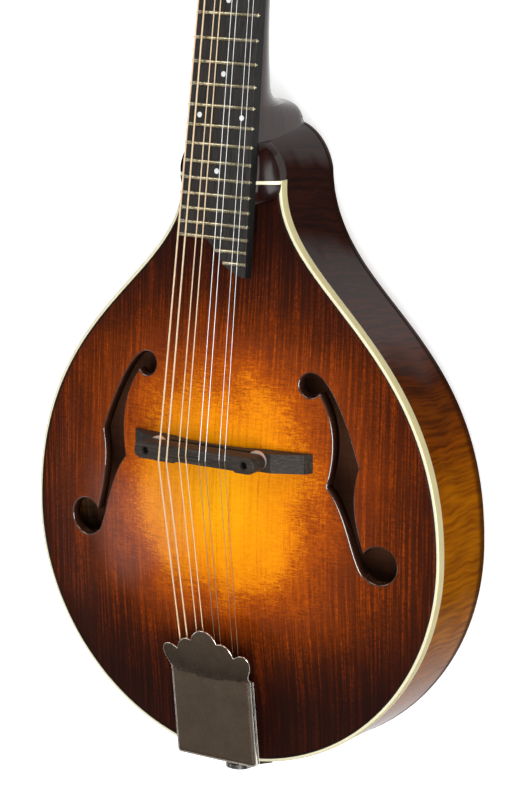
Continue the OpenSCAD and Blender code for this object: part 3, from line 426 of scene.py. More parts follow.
class Nodes:
    """A tree of shader nodes while it is put together."""

    def __init__(self, tree):
        self.tree = tree

    def set(self, node, socket, value):
        target = node.inputs[socket]
        if isinstance(value, bpy.types.NodeSocket):
            self.tree.links.new(value, target)
        else:
            target.default_value = value

    def node(self, kind, inputs=None, **settings):
        made = self.tree.nodes.new("ShaderNode" + kind)
        for key, value in settings.items():
            setattr(made, key, value)
        for socket, value in (inputs or {}).items():
            self.set(made, socket, value)
        return made

    def place(self, name=None):
        """The piece's own grain places in mm, or the CAD's places in metres."""
        if name:
            return self.node("Attribute", attribute_name=name).outputs["Vector"]
        return self.node("TexCoord").outputs["Object"]

    def value(self, name):
        return self.node("Attribute", attribute_name=name).outputs["Fac"]

    def noise(self, vector, scale, detail=3.0, rough=0.55):
        """Noise by one scale, or by three: it is drawn out along the axes where they are small."""
        if isinstance(scale, tuple):
            vector = self.node("Mapping", {"Vector": vector, "Scale": scale}).outputs["Vector"]
            scale = 1.0
        inputs = {"Vector": vector, "Scale": scale, "Detail": detail, "Roughness": rough}
        return self.node("TexNoise", inputs).outputs["Fac"]

    def wave(self, vector, scale, direction, distortion=0.0):
        inputs = {"Vector": vector, "Scale": scale, "Distortion": distortion}
        return self.node("TexWave", inputs, bands_direction=direction).outputs["Fac"]

    def math(self, kind, a, b):
        return self.node("Math", {0: a, 1: b}, operation=kind).outputs[0]

    def span(self, value, low, high, to_low=0.0, to_high=1.0):
        """The value's place between low and high, spread over the second pair."""
        inputs = {"Value": value, "From Min": low, "From Max": high, "To Min": to_low, "To Max": to_high}
        return self.node("MapRange", inputs).outputs["Result"]

    def vary(self, noise, low=0.0, high=1.0):
        """The common range of a noise, spread between two numbers."""
        return self.span(noise, NOISE_LOW, NOISE_HIGH, low, high)

    def ramp(self, factor, stops):
        made = self.node("ValToRGB", {"Fac": factor})
        elements = made.color_ramp.elements
        while len(elements) < len(stops):
            elements.new(0.5)
        for element, (place, tint) in zip(elements, stops):
            element.position = place
            element.color = tint
        return made.outputs["Color"]

    def tints(self, factor, stops):
        """Two ramps, from rows of a place and two colours."""
        return [self.ramp(factor, [(row[0], colour(*row[k])) for row in stops]) for k in (1, 2)]

    def mix(self, factor, a, b):
        return self.node("Mix", {"Factor": factor, 6: a, 7: b}, data_type="RGBA").outputs[2]


class Paint(Nodes):
    """A node material. FINISHES keeps it under its name."""

    def __init__(self, name, **sockets):
        FINISHES[name] = bpy.data.materials.new(name)
        FINISHES[name].use_nodes = True
        super().__init__(FINISHES[name].node_tree)
        self.tree.nodes.clear()
        self.surface = self.node("BsdfPrincipled")
        self.node("OutputMaterial", {"Surface": self.surface.outputs["BSDF"]})
        self.set_surface(sockets)

    def set_surface(self, sockets):
        for socket, value in sockets.items():
            self.set(self.surface, socket.replace("_", " "), value)

    def bump(self, height, strength, distance):
        made = self.node("Bump", {"Height": height, "Strength": strength, "Distance": distance})
        self.set(self.surface, "Normal", made.outputs["Normal"])

    def finish(self, tint, rough, **sockets):
        self.set_surface({"Base_Color": tint, "Roughness": rough, **sockets})


# From the middle of the sunburst out: place, colour of the early wood, colour of the late wood
BURST_COLOURS = [
    (0.00, (255, 178, 8), (228, 128, 2)), (0.12, (249, 160, 3), (218, 116, 1)),
    (0.20, (240, 146, 2), (210, 108, 1)), (0.27, (224, 126, 2), (200, 100, 1)),
    (0.34, (162, 70, 3), (194, 90, 2)), (0.43, (114, 44, 5), (176, 76, 3)),
    (0.51, (96, 37, 6), (172, 71, 4)), (0.60, (73, 28, 7), (152, 60, 5)),
    (0.68, (56, 21, 8), (128, 49, 7)), (0.81, (44, 17, 9), (98, 36, 8)), (1.00, (34, 14, 10), (68, 26, 10))]
# Shares of the sunburst: where its colours end, and where the lacquer is polished and worn dull
BURST_END = 2.6
POLISHED_TO, DULL_FROM = 1.2, 1.45


def sunburst_spruce():
    """Straight spruce grain under a sprayed burst, amber in the middle and dark at the rim."""
    paint = Paint("sunburst_spruce", Coat_Roughness=0.16, Coat_IOR=1.22)
    place = paint.place("grain")
    lines = paint.noise(place, (0.75, 0.012, 0.1), 3.0, 0.6)
    breaks = paint.noise(place, (1.1, 0.45, 0.2), 4.0, 0.7)
    patches = paint.noise(place, (0.12, 0.04, 0.02), 2.0)
    flecks = paint.noise(place, (0.5, 1.8, 0.2), 4.0, 0.7)
    fibre = paint.noise(place, (1.8, 0.16, 0.4), 3.0, 0.6)
    figure = paint.noise(place, (0.16, 0.9, 0.1), 4.0, 0.65)
    cloud = paint.noise(place, (0.04, 0.03, 0.02), 2.0, 0.5)
    lines = paint.math("MULTIPLY", paint.span(lines, 0.46, 0.66), paint.span(patches, 0.3, 0.6, 0.4, 1.0))
    lines = paint.math("MULTIPLY", lines, paint.span(breaks, 0.38, 0.62, 0.15, 1.0))
    share = paint.value("burst")
    burst = share
    for unevenness, reach in ((cloud, 0.09), (flecks, 0.12), (fibre, 0.06), (figure, 0.1)):
        burst = paint.math("ADD", burst, paint.vary(unevenness, -reach, reach))
    early, late = paint.tints(paint.math("DIVIDE", burst, BURST_END), BURST_COLOURS)
    tint = paint.mix(lines, early, late)
    paint.bump(paint.math("ADD", lines, fibre), 0.05, 0.0002)
    rough = paint.span(fibre, 0.2, 0.8, 0.4, 0.55)
    gloss = paint.span(share, POLISHED_TO, DULL_FROM, 1.0, 0.12)
    paint.finish(tint, rough, Specular_IOR_Level=0.04, Coat_Weight=gloss)


RIB_LENGTH = 463.0
# From the neck round to the tail: place, colour of the dark curl, colour of the light curl
RIB_COLOURS = [
    (0.00, (24, 11, 9), (40, 18, 12)), (0.20, (24, 11, 9), (48, 20, 11)), (0.34, (42, 18, 8), (76, 32, 8)),
    (0.43, (72, 30, 2), (118, 56, 2)), (0.50, (112, 56, 1), (152, 88, 1)), (0.66, (108, 56, 1), (152, 90, 2)),
    (0.78, (92, 44, 3), (132, 70, 6)), (0.90, (52, 24, 14), (84, 40, 20)), (1.00, (38, 19, 14), (60, 28, 18))]
# Where the lacquer is polished and where it is worn dull
RIB_GLOSS = [
    (0.00, 0.65), (0.04, 0.65), (0.06, 0.06), (0.14, 0.06), (0.17, 0.65), (0.29, 0.65), (0.35, 0.04),
    (0.61, 0.04), (0.74, 0.60), (1.00, 0.60)]
# From the middle of the back out to its edge
BACK_COLOURS = [
    (0.00, (142, 74, 4), (184, 112, 8)), (0.35, (126, 62, 4), (168, 94, 6)),
    (0.60, (84, 36, 5), (116, 52, 6)), (0.85, (48, 21, 10), (70, 31, 12)), (1.00, (30, 14, 11), (46, 21, 13))]
# The ribs are darker towards their foot, between these heights
FOOT_DARK, FOOT_CLEAR = RIB_BOTTOM - 1, RIB_BOTTOM + 3


def flamed_maple(name, stops, gloss, place_name, share_name=None):
    """Curly maple under lacquer. The curl crosses the first number of the named places. The stops of the
    colours, and of the gloss where it has some, follow that number or the named share."""
    paint = Paint(name, Coat_Roughness=0.07, Coat_IOR=1.3)
    place = paint.place(place_name)
    along = paint.node("SeparateXYZ", {"Vector": place}).outputs
    warp = paint.noise(place, (0.02, 0.04, 0.04), 2.0)
    sway = paint.node("CombineXYZ", {"X": paint.span(warp, 0.2, 0.8, -2, 2)}).outputs[0]
    shifted = paint.node("VectorMath", {0: place, 1: sway}, operation="ADD").outputs[0]
    curl = paint.span(paint.noise(shifted, (0.5, 0.035, 0.035), 3.0, 0.5), 0.38, 0.62, 0.0, 0.75)
    blotch = paint.noise(place, (0.06, 0.04, 0.04), 2.0)
    curl = paint.math("ADD", curl, paint.span(blotch, 0.35, 0.65, 0.0, 0.25))
    pores = paint.noise(place, (0.1, 1.6, 1.6))
    spread = paint.value(share_name) if share_name else paint.span(along["X"], 0.0, RIB_LENGTH)
    spread = paint.math("ADD", spread, paint.span(warp, 0.2, 0.8, -0.02, 0.02))
    dark, light = paint.tints(spread, stops)
    tint = paint.mix(curl, dark, light)
    tint = paint.mix(paint.span(pores, 0.45, 0.8, 0.0, 0.3), tint, dark)
    if not share_name:
        tint = paint.mix(paint.span(along["Y"], FOOT_DARK, FOOT_CLEAR, 0.75, 0.0), tint, colour(30, 13, 6))
    paint.bump(paint.math("ADD", curl, pores), 0.05, 0.0003)
    rough = paint.span(curl, 0.0, 1.0, 0.45, 0.35)
    if isinstance(gloss, list):
        gloss = paint.ramp(spread, [(p, (amount, amount, amount, 1)) for p, amount in gloss])
    paint.finish(tint, rough, Specular_IOR_Level=0.0, Coat_Weight=gloss)


def lacquered(name, dark, light, coat_ior, coat, coat_rough):
    """Nearly black stained wood under gloss lacquer."""
    paint = Paint(name, Coat_Weight=coat, Coat_Roughness=coat_rough, Coat_IOR=coat_ior)
    place = paint.place()
    streak = paint.noise(place, (420, 30, 260), 4.0, 0.6)
    cloud = paint.noise(place, 30.0, 2.0)
    tint = paint.mix(paint.span(streak, 0.35, 0.7), colour(*dark), colour(*light))
    paint.bump(streak, 0.05, 0.0003)
    paint.finish(tint, paint.vary(cloud, 0.3, 0.45), Specular_IOR_Level=0.02)


def ebony(name, dark, light, shine, stretch=(900, 45, 700)):
    """Dense black wood with fine grey streaks, drawn out where the stretch is small."""
    paint = Paint(name)
    place = paint.place()
    streak = paint.noise(place, stretch, 5.0, 0.65)
    wear = paint.noise(place, 60.0, 3.0)
    tint = paint.mix(paint.span(streak, 0.3, 0.72), colour(*dark), colour(*light))
    paint.bump(streak, 0.12, 0.0003)
    rough = paint.math("ADD", paint.vary(wear, shine, shine + 0.14), paint.vary(streak, 0, 0.08))
    paint.finish(tint, rough, Specular_IOR_Level=0.16)


def bare_wood(name, dark, light):
    """Unfinished wood inside the body, with the cuts of the lining strips."""
    paint = Paint(name)
    place = paint.place()
    streak = paint.noise(place, (700, 60, 500), 4.0, 0.6)
    cuts = paint.wave(place, 52.0, "Y", 0.4)
    tint = paint.mix(paint.vary(streak), colour(*dark), colour(*light))
    tint = paint.mix(paint.span(cuts, 0.86, 0.97, 0.0, 0.6), tint, colour(*dark))
    paint.bump(streak, 0.2, 0.0004)
    paint.finish(tint, paint.vary(streak, 0.6, 0.8))


def plastic(name, dark, light, rough, place_name=None):
    """Smooth plastic or bone with a faint cloudiness and handling marks."""
    paint = Paint(name, IOR=1.5)
    mm = 0.001 if place_name else 1.0
    place = paint.place(place_name)
    cloud = paint.noise(place, 90.0 * mm, 3.0)
    marks = paint.noise(place, (900 * mm, 500 * mm, 200 * mm))
    tint = paint.mix(paint.vary(cloud), colour(*dark), colour(*light))
    paint.bump(marks, 0.05, 0.0002)
    paint.finish(tint, paint.vary(marks, rough, rough + 0.12))


def metal(name, dark, light, rough, scratch=(1040, 1040, 1040), depth=0.06, place_name=None, purity=1.0):
    """Metal with a tarnish that follows a slow cloud, and fine scratches; dull where it isn't pure."""
    paint = Paint(name, Metallic=purity)
    mm = 0.001 if place_name else 1.0
    place = paint.place(place_name)
    cloud = paint.noise(place, 110.0 * mm, 4.0, 0.6)
    lines = paint.noise(place, tuple(s * mm for s in scratch), 3.0, 0.7)
    tint = paint.mix(paint.span(cloud, 0.32, 0.68), colour(*dark), colour(*light))
    paint.bump(lines, depth, 0.0002)
    paint.finish(tint, paint.vary(lines, rough, rough + 0.14))


def wound_wire(name, dark, light):
    """Bronze wire wound round a core: fine turns along the string."""
    paint = Paint(name, Metallic=0.5)
    place = paint.place("grain")
    turns = paint.wave(place, 1.05, "X")
    cloud = paint.noise(place, (0.08, 1, 1), 2.0)
    tint = paint.mix(turns, colour(*dark), colour(*light))
    tint = paint.mix(paint.span(cloud, 0.3, 0.8, 0.0, 0.3), tint, colour(*dark))
    paint.bump(turns, 0.5, 0.0001)
    paint.finish(tint, paint.vary(cloud, 0.32, 0.45))


sunburst_spruce()
lacquered("hole_edge", (52, 28, 18), (76, 42, 26), 1.8, 1.0, 0.06)
flamed_maple("flamed_maple_ribs", RIB_COLOURS, RIB_GLOSS, "grain")
flamed_maple("flamed_maple_edge", RIB_COLOURS, RIB_GLOSS, "rim")
flamed_maple("flamed_maple_back", BACK_COLOURS, 0.3, "grain", "burst")
plastic("binding_cream", (226, 219, 184), (236, 229, 196), 0.2, "grain")
# A darker copy of the binding's cream for the faces on its side: painted shade where less light falls
plastic("binding_side_painted_shade", (178, 166, 116), (186, 174, 124), 0.4, "grain")
plastic("purfling_black", (16, 13, 12), (26, 21, 19), 0.7, "grain")
plastic("edge_black", (16, 13, 12), (26, 21, 19), 0.7)
lacquered("neck_lacquer", (24, 13, 11), (46, 22, 16), 1.3, 0.8, 0.06)
lacquered("riser_lacquer", (20, 9, 8), (42, 17, 12), 1.3, 0.5, 0.2)
ebony("board_ebony", (30, 28, 27), (58, 55, 53), 0.42)
# A near-black copy of the fingerboard's ebony for its sides: painted shade
ebony("board_side_painted_shade", (6, 6, 6), (14, 13, 12), 0.5)
ebony("bridge_ebony", (24, 21, 19), (74, 66, 59), 0.4, (40, 900, 900))
ebony("head_ebony", (16, 15, 15), (34, 32, 31), 0.22)
bare_wood("inner_wood", (74, 46, 26), (132, 92, 56))
# Wood for the inner faces of the top and back, darkened to stand for the dim light inside the body: painted
# shade
bare_wood("inside_wood_painted_shade", (104, 62, 40), (130, 80, 52))
metal("nickel", (176, 172, 164), (214, 210, 202), 0.14)
metal("fret_metal", (172, 160, 126), (226, 216, 186), 0.18, (3600, 800, 800))
metal("pewter", (136, 117, 99), (148, 129, 110), 0.22, (3600, 240, 1200), 0.03)
# A paler, glossier copy of the pewter for the cover's edges, beads and rim: painted highlight
metal("bright_pewter", (206, 200, 190), (238, 234, 226), 0.08)
metal("button_steel", (96, 93, 89), (126, 122, 117), 0.2)
metal("wheel_metal", (214, 209, 200), (240, 237, 230), 0.3, purity=0.5)
metal("stud_steel", (22, 21, 20), (38, 36, 34), 0.4)
metal("rod_metal", (120, 118, 116), (160, 158, 156), 0.3)
metal("brass", (170, 124, 54), (212, 170, 92), 0.25)
# Two copies of each wire: a paler one for the spans and turns, a painted highlight, and a darker,
# orange-tinted one for the tails behind the saddle, painted shade with a painted reflection of the top
metal("steel_wire", (236, 237, 236), (252, 252, 250), 0.3, (160, 3600, 3600), 0.02, "grain", 0.5)
metal("steel_wire_painted_shade", (176, 156, 128), (204, 186, 158), 0.26, (160, 3600, 3600), 0.02, "grain")
wound_wire("bronze_wire", (238, 198, 154), (255, 238, 206))
wound_wire("bronze_wire_painted_shade", (231, 184, 134), (251, 224, 182))
plastic("pearl", (208, 210, 214), (244, 246, 242), 0.12)
plastic("bone", (218, 204, 172), (240, 230, 204), 0.3)
plastic("button_cream", (214, 202, 168), (240, 232, 204), 0.2)

# Top: the carved plate with its two sound holes
EYE, EYE_R, EYE_ARC = (52.5, -107.3), 6.4, (-33, -270)
BOWL, BOWL_R, BOWL_ARC = (94.7, -200.5), 10.2, (148, -143)
HOLE_OUTER = [[(52.5, -100.9), (63, -101), (74, -125), (82, -148.5)],
              [(82, -148.5), (78, -163), (80, -177), (85.8, -195)]]
HOLE_INNER = [[(86, -207), (80, -199), (77, -173), (65.2, -160.5)],
              [(65.2, -160.5), (70, -143), (68.5, -124), (58, -110.8)]]
HOLE_ROUNDING = 0.9
BURST_Y, BURST_HALF, BURST_UP, BURST_DOWN = -176.0, 68.0, 82.0, 65.0
BURST_POWER = 2.2
DARK_ENDS, DARK_RATE = 0.95, 0.9
RIM_REACH = 3.0
BLACK, BLACK_REACH = 3, 0.4


def sound_hole():
    """The treble hole's outline: outer curve, bowl, inner curve, eye."""
    bowl = arc(BOWL, BOWL_R, *BOWL_ARC, 46)[1:-1]
    eye = arc(EYE, EYE_R, *EYE_ARC, 30)[1:-1]
    return np.vstack([chain(HOLE_OUTER, 26), bowl, chain(HOLE_INNER, 26), eye])


def burst_share(x, y):
    """How far a point is into the dark of the sunburst: 1 where the amber ends."""
    up = np.abs((y - BURST_Y) / np.where(y > BURST_Y, BURST_UP, BURST_DOWN))
    spread = (np.abs(x / BURST_HALF) ** BURST_POWER + up ** BURST_POWER) ** (1 / BURST_POWER)
    return spread + DARK_RATE * np.maximum(up - DARK_ENDS, 0)


hole = sound_hole()
points, faces, kinds, normals = plate(plate_edge, [hole, mirrored(hole)], spacing=3.2, upper=top_z,
                                      lower=under_top_z, rounding=HOLE_ROUNDING, round_below=False)
middles = np.array([points[list(face), :2].mean(0) for face in faces])
to_rim = np.min(np.hypot(*(middles[:, None] - plate_edge[None]).transpose(2, 0, 1)), axis=1)
at_rim = (np.array(kinds) == EDGE) & (to_rim < RIM_REACH)
kinds = np.where(at_rim, np.where(to_rim < BLACK_REACH, BLACK, ABOVE), kinds)
# The top's underside takes the darkened inside wood: painted shade
piece("carved_top", points, faces, ["sunburst_spruce", "hole_edge", "inside_wood_painted_shade", "edge_black"],
      "spruce_top", ["top_plate"], kinds, values={"burst": burst_share(*points[:, :2].T)}, normals=normals)

# Back, with the button that covers the heel
back_half = np.vstack([bezier(BUTTON, np.arange(12) / 12), inward(back_wall_half, -BACK_OVERHANG)])
back_outline = both_sides(back_half)[:-1]
points, faces, kinds, normals = plate(back_outline, [], spacing=5.0, upper=over_back_z, lower=back_z,
                                      rounding=1.6)
around = [np.argmin(np.hypot(back_wall_half[:, 0] - abs(x), back_wall_half[:, 1] - y)) for x, y, z in points]
rim_places = np.c_[arc_length(wall_half)[around], points[:, 2], np.zeros(len(points))]
back_share = edge_share(*points[:, :2].T, back_reach)
# The back's inner face takes the darkened inside wood: painted shade
piece("carved_back", points, faces, ["inside_wood_painted_shade", "flamed_maple_edge", "flamed_maple_back"],
      "maple_body", ["back_plate"], kinds, values={"burst": back_share, "rim": rim_places}, normals=normals)

# Ribs
RIB_FOOT = RIB_INSET - BACK_OVERHANG
rib_corners = [(wall_half, RIB_INSET, -BINDING_H), (wall_half, RIB_INSET + RIB_T, -BINDING_H),
               (back_wall_half, RIB_FOOT + RIB_T, RIB_BOTTOM), (back_wall_half, RIB_FOOT, RIB_BOTTOM)]
points, faces = sweep(rib_corners)
along = np.tile(arc_length(wall_half), len(rib_corners))
places = np.c_[along, points[:, 2], np.zeros(len(points))]
for side, name in ((1, "treble_rib"), (-1, "bass_rib")):
    piece("bent_" + name, points * [side, 1, 1], faces, ["flamed_maple_ribs"], "maple_body", [name],
          grain=places)

# Binding with its cross strip, and the black line inside it
BOARD_HALF = 21.25
BOARD_UNDER = 8.6
RISER_HALF = NECK_HALF - 0.5
RISER_EDGE_Z = 1.5
BINDING_ROUNDING = 1.2
SIDE_STRIPS = 3
PURFLING_Z = 0.02
rounded_edge = [(BINDING_ROUNDING * (1 - math.cos(a)), BINDING_ROUNDING * (math.sin(a) - 1))
                for a in np.radians((0, 22.5, 45, 67.5, 90))]
binding_section = [(0, -BINDING_H)] + rounded_edge + [(BINDING_W, 0), (BINDING_W, -BINDING_H)]
strip_half = np.array([(RISER_HALF, 0), (RISER_HALF, RISER_EDGE_Z), (BOARD_HALF, BOARD_UNDER)])
strip = np.vstack([strip_half, mirrored(strip_half[::-1])])
strip_rows = [np.c_[strip[:, 0], np.full(len(strip), y), strip[:, 1]] for y in (0.0, -BINDING_W)]
points, faces = joined([sweep([(top_path, inset, z) for inset, z in binding_section]), loft(strip_rows)])
# The side faces take the darker copy of the cream: painted shade on the binding's side
side_faces = SIDE_STRIPS * (len(top_path) - 1)
kinds = [1] * side_faces + [0] * (len(faces) - side_faces)
piece("binding", points, faces, ["binding_cream", "binding_side_painted_shade"], "cream_binding", ["top_binding"], kinds)
purfling_section = [(BINDING_W, -BINDING_H), (BINDING_W, PURFLING_Z), (PURFLING_IN, PURFLING_Z),
                    (PURFLING_IN, -BINDING_H)]
purfling = sweep([(top_path, inset, z) for inset, z in purfling_section])
piece("purfling_line", *purfling, ["purfling_black"], "black_trim", ["top_purfling"])

# Neck, heel and headstock
NECK_ANGLE = math.radians(7.5)
HEAD_ANGLE = math.radians(13.0)
BOARD_Z = 14.7
BOARD_T = 6.0
SCALE_LENGTH = 352.4
NUT_HALF = 16.5
NUT_T = 5.0
NUT_Y = SCALE_LENGTH * (1 - 2 ** (-15 / 12))
HEAD_ROOT = NUT_Y + NUT_T
ROOT_Y = HEAD_ROOT * math.cos(NECK_ANGLE) - BOARD_T * math.sin(NECK_ANGLE)
ROOT_RUN, ROOT_TAPER = 12.0, 3.0
ROOT_SINK = ROOT_RUN * math.tan(NECK_ANGLE + HEAD_ANGLE) + 1
SHAFT_DEPTH = 16.5
SWELL_START, SWELL_RATE = 100.0, 0.0033
HEEL_START, HEEL_TIP, HEEL_HALF, HEEL_FILLET = 46.5, 37.5, 19.0, 6.0
FOOT_POWER = 3
BLOCK_END_Y = 20.0


def on_neck(points):
    """Places on the fingerboard: across it, towards the head, and out of its face."""
    return tipped(points, -NECK_ANGLE) + [0, 0, BOARD_Z]


def on_head(points):
    """Places on the headstock, likewise, from its root."""
    return on_neck(tipped(points, -HEAD_ANGLE) + [0, HEAD_ROOT, -BOARD_T])


def board_half(y):
    return BOARD_HALF + (NUT_HALF - BOARD_HALF) * min(y, NUT_Y) / NUT_Y


def board_under(y):
    """Height of the fingerboard's underside."""
    return BOARD_Z - BOARD_T / math.cos(NECK_ANGLE) - y * math.tan(NECK_ANGLE)


def neck_top(y):
    """Height of the neck's upper face, which sinks into the headstock past its root."""
    return board_under(min(y, ROOT_Y)) - ROOT_SINK * min(max((y - ROOT_Y) / ROOT_RUN, 0), 1)


def neck_depth(y):
    """From the fingerboard's underside down: the shaft swells into the heel, which stands on a round foot."""
    if y > ROOT_Y:
        return SHAFT_DEPTH - (y - ROOT_Y) / ROOT_TAPER
    shaft = SHAFT_DEPTH + (ROOT_Y - y) / ROOT_Y + SWELL_RATE * max(SWELL_START - y, 0) ** 2
    full = neck_top(y) - RIB_BOTTOM
    if y >= HEEL_TIP:
        t = max(HEEL_START - y, 0) / (HEEL_START - HEEL_TIP)
        return shaft + (full - shaft) * (1 - math.sqrt(1 - t * t))
    t = (y - BLOCK_END_Y) / (HEEL_TIP - BLOCK_END_Y)
    foot_half = HEEL_HALF * (1 - t ** FOOT_POWER) ** (1 / FOOT_POWER)
    return full / math.sqrt(1 - (foot_half / board_half(y)) ** 2)


def fillet(z, low, radius):
    """A height that never falls below a level, and comes down to it in a curve."""
    t = np.clip((z - low) / radius, -1, 1)
    return np.where(t < 1, low + radius * (t + 1) ** 2 / 4, z)


turn_in = np.radians(np.linspace(90, 0, 22))
heel_ys = BLOCK_END_Y + (HEEL_TIP - BLOCK_END_Y) * np.cos(turn_in)
throat_ys = HEEL_START - (HEEL_START - HEEL_TIP) * np.sin(turn_in[1:])
shaft_ys = np.linspace(HEEL_START + 4, ROOT_Y, 24)
neck_ys = np.concatenate([heel_ys, throat_ys, shaft_ys, [ROOT_Y + ROOT_RUN]])
under_angles = np.radians(np.linspace(0, 180, 41))
neck_sections = []
for y in neck_ys:
    under_z = fillet(neck_top(y) - neck_depth(y) * np.sin(under_angles), RIB_BOTTOM, HEEL_FILLET)
    neck_sections.append(np.c_[board_half(y) * np.cos(under_angles), np.full(len(under_z), y), under_z])
piece("neck_and_heel", *loft(neck_sections), ["neck_lacquer"], "dark_neck", ["neck"], sharp=50)
HEAD_HALF, HEAD_LENGTH, HEAD_T = 33.0, 149.0, 13.0
HEAD_CURVES = [
    [(NUT_HALF - 1, 0.4), (NUT_HALF, 12), (HEAD_HALF - 1, 14), (HEAD_HALF, 30)],
    [(HEAD_HALF, 30), (HEAD_HALF - 1, 60), (HEAD_HALF - 2, 90), (HEAD_HALF - 3, 120)],
    [(HEAD_HALF - 3, 120), (HEAD_HALF - 4, 140), (22, HEAD_LENGTH), (13, HEAD_LENGTH)]]
head_half = chain(HEAD_CURVES, 24)
head_outline = np.vstack([head_half, mirrored(head_half[::-1])])
points, faces, *_ = plate(head_outline, [], spacing=6.0, upper=level(0.0), lower=level(-HEAD_T), rounding=1.2)
piece("headstock", on_head(points), faces, ["neck_lacquer"], "dark_neck", ["neck"])

# Riser: the dark shoulder under the fingerboard
RISER_TAIL, RISER_FOOT = 12.7, 0.2
SEAT_GAP = 0.05
SLOPE_POINTS = 9
HOLLOW, HOLLOW_PULL = 0.9, 0.35
SUPPORT_HALF, SUPPORT_TAIL, SUPPORT_SINK, SUPPORT_LAP = 17.0, 29.0, 0.3, 2.0


def riser_section(y, half, foot):
    """One side from the seat down a shallow hollow to the edge, then the other side."""
    seat, seat_z = min(BOARD_HALF, half), board_under(y) - SEAT_GAP
    t = np.linspace(0, 1, SLOPE_POINTS)
    hollow = HOLLOW * np.sin(np.pi * t) * (half - seat) / (RISER_HALF - BOARD_HALF)
    x = seat + (half - seat) * t - HOLLOW_PULL * hollow
    z = seat_z + (RISER_EDGE_Z - seat_z) * t - hollow
    side = np.vstack([np.c_[x, np.full(SLOPE_POINTS, y), z], [[half, y, foot]]])
    return np.vstack([side, (side * [-1, 1, 1])[::-1]])


wall_y = wall_half[:FINE + 1, 1]
wall_x = inward(wall_half, RIB_INSET)[:FINE + 1, 0]
front, tail, support = [], [], []
for y in np.linspace(0, BLOCK_END_Y, 14):
    front.append(riser_section(y, min(np.interp(-y, -wall_y, wall_x), RISER_HALF), -BINDING_H))
for a in np.radians(np.linspace(0, 90, 12)):
    y = -BINDING_W - (RISER_TAIL - BINDING_W) * math.sin(a)
    tail.append(riser_section(y, BOARD_HALF + (RISER_HALF - BOARD_HALF) * math.cos(a), RISER_FOOT))
for y in np.linspace(SUPPORT_LAP - RISER_TAIL, -SUPPORT_TAIL, 8):
    high, low = board_under(y) - SEAT_GAP, top_z(0.0, y) - SUPPORT_SINK
    support.append(np.array([(SUPPORT_HALF, y, high), (SUPPORT_HALF, y, low), (-SUPPORT_HALF, y, low),
                             (-SUPPORT_HALF, y, high)]))
piece("riser", *joined([loft(rows) for rows in (front, tail, support)]), ["riser_lacquer"], "dark_neck",
      ["neck_riser"], sharp=50)

# Bridge saddle: a rounded block with a pad at each end and a crest that is stepped for each course
SADDLE_HALF, SADDLE_R, SADDLE_Z, WING_Z, CREST_Z = 38.5, 4.5, 25.55, 37.6, 38.3
CREST_HALF, CREST_EDGE = 25.0, 0.45
COURSE_SHIFT = np.array([-4, 0.9, -0.5, 1.6])
SADDLE_CUT, BASS_RUN, TREBLE_RUN = 0.9, 1.0, 1.5
SADDLE_ROUNDING = 1.0
STUD_HOLE_R = 2.0


def saddle_top(x, y):
    """Height of the upper face: flat pads, and a ridge to each course's break point between them."""
    course = np.clip((x + CREST_HALF) // (CREST_HALF / 2), 0, 3).astype(int)
    shift = COURSE_SHIFT[course]
    away = y - BRIDGE_Y - shift
    reach = np.where(away > 0, SADDLE_R - shift, SADDLE_R + shift) - CREST_EDGE
    rise = np.clip(1 - (np.abs(away) - CREST_EDGE) / reach, 0, 1)
    return WING_Z + np.where(np.abs(x) < CREST_HALF, (CREST_Z - WING_Z) * rise, 0)


def straight(start, stop, spacing=1.5):
    """Points on a line, about the given distance apart."""
    start, stop = np.array(start, float), np.array(stop, float)
    return between(start, stop, int(np.linalg.norm(stop - start) / spacing) + 2)


pad_x = SADDLE_HALF - SADDLE_R
cut_y = SADDLE_CUT - SADDLE_R
saddle_outline = [0, BRIDGE_Y] + np.vstack([
    straight((-pad_x, -SADDLE_R), (-CREST_HALF / 2, -SADDLE_R)),
    straight((BASS_RUN - CREST_HALF / 2, cut_y), (CREST_HALF, cut_y)),
    straight((CREST_HALF + TREBLE_RUN, -SADDLE_R), (pad_x, -SADDLE_R)),
    arc((pad_x, 0), SADDLE_R, -75, 75, 11),
    straight((pad_x, SADDLE_R), (-pad_x, SADDLE_R)),
    arc((-pad_x, 0), SADDLE_R, 105, 255, 11)])
stud_holes = [arc((side * STUD_X, BRIDGE_Y), STUD_HOLE_R, 0, 345, 24) for side in (1, -1)]
points, faces, _, normals = plate(saddle_outline, stud_holes, spacing=1.1, upper=saddle_top,
                                  lower=level(SADDLE_Z), rounding=SADDLE_ROUNDING)
piece("saddle_block", points, faces, ["bridge_ebony"], "ebony", ["bridge_saddle"], body="saddle",
      normals=normals)

# Strings, each from its hook over the saddle and the nut to its post
COURSE_D = [1.0, 0.66, 0.38, 0.28]
POST_PLACE = [0, 1, 2, 3, 3, 2, 1, 0]
COURSE_TURNS = [2, 2, 3, 3]
PAIR_SHARE = [1.19, 1.05, 0.94, 0.84]
HOOK_STEP, HOOK_GAP, HOOK_S, HOOK_Z = 10.4, 4.0, 23.15, -3.2
SADDLE_STEP, SADDLE_GAP, SADDLE_SEAT = 12.6, 4.3, 0.3
NUT_STEP, NUT_GAP, STRING_RISE = 9.2, 3.0, 1.2
POST_X, FIRST_POST, POST_PITCH, WAIST_R = 19.0, 34.0, 23.0, 2.6
WAIST_GAP, TURN_Z, TURN_GAP = 0.06, 4.8, 0.55
COVER_TAIL = np.array([0.0, -323.1, 15.2])
COVER_SLOPE = math.radians(7.1)


def across(pair_step, pair_gap, i):
    """Where a string lies across the instrument: the step from pair to pair, and the gap in a pair."""
    return (i // 2 - 1.5) * pair_step + (i % 2 - 0.5) * pair_gap * PAIR_SHARE[i // 2]


def on_cover(points):
    """Places on the tailpiece cover: across it, from its tail to its front, and out of its face."""
    return tipped(points, COVER_SLOPE) + COVER_TAIL


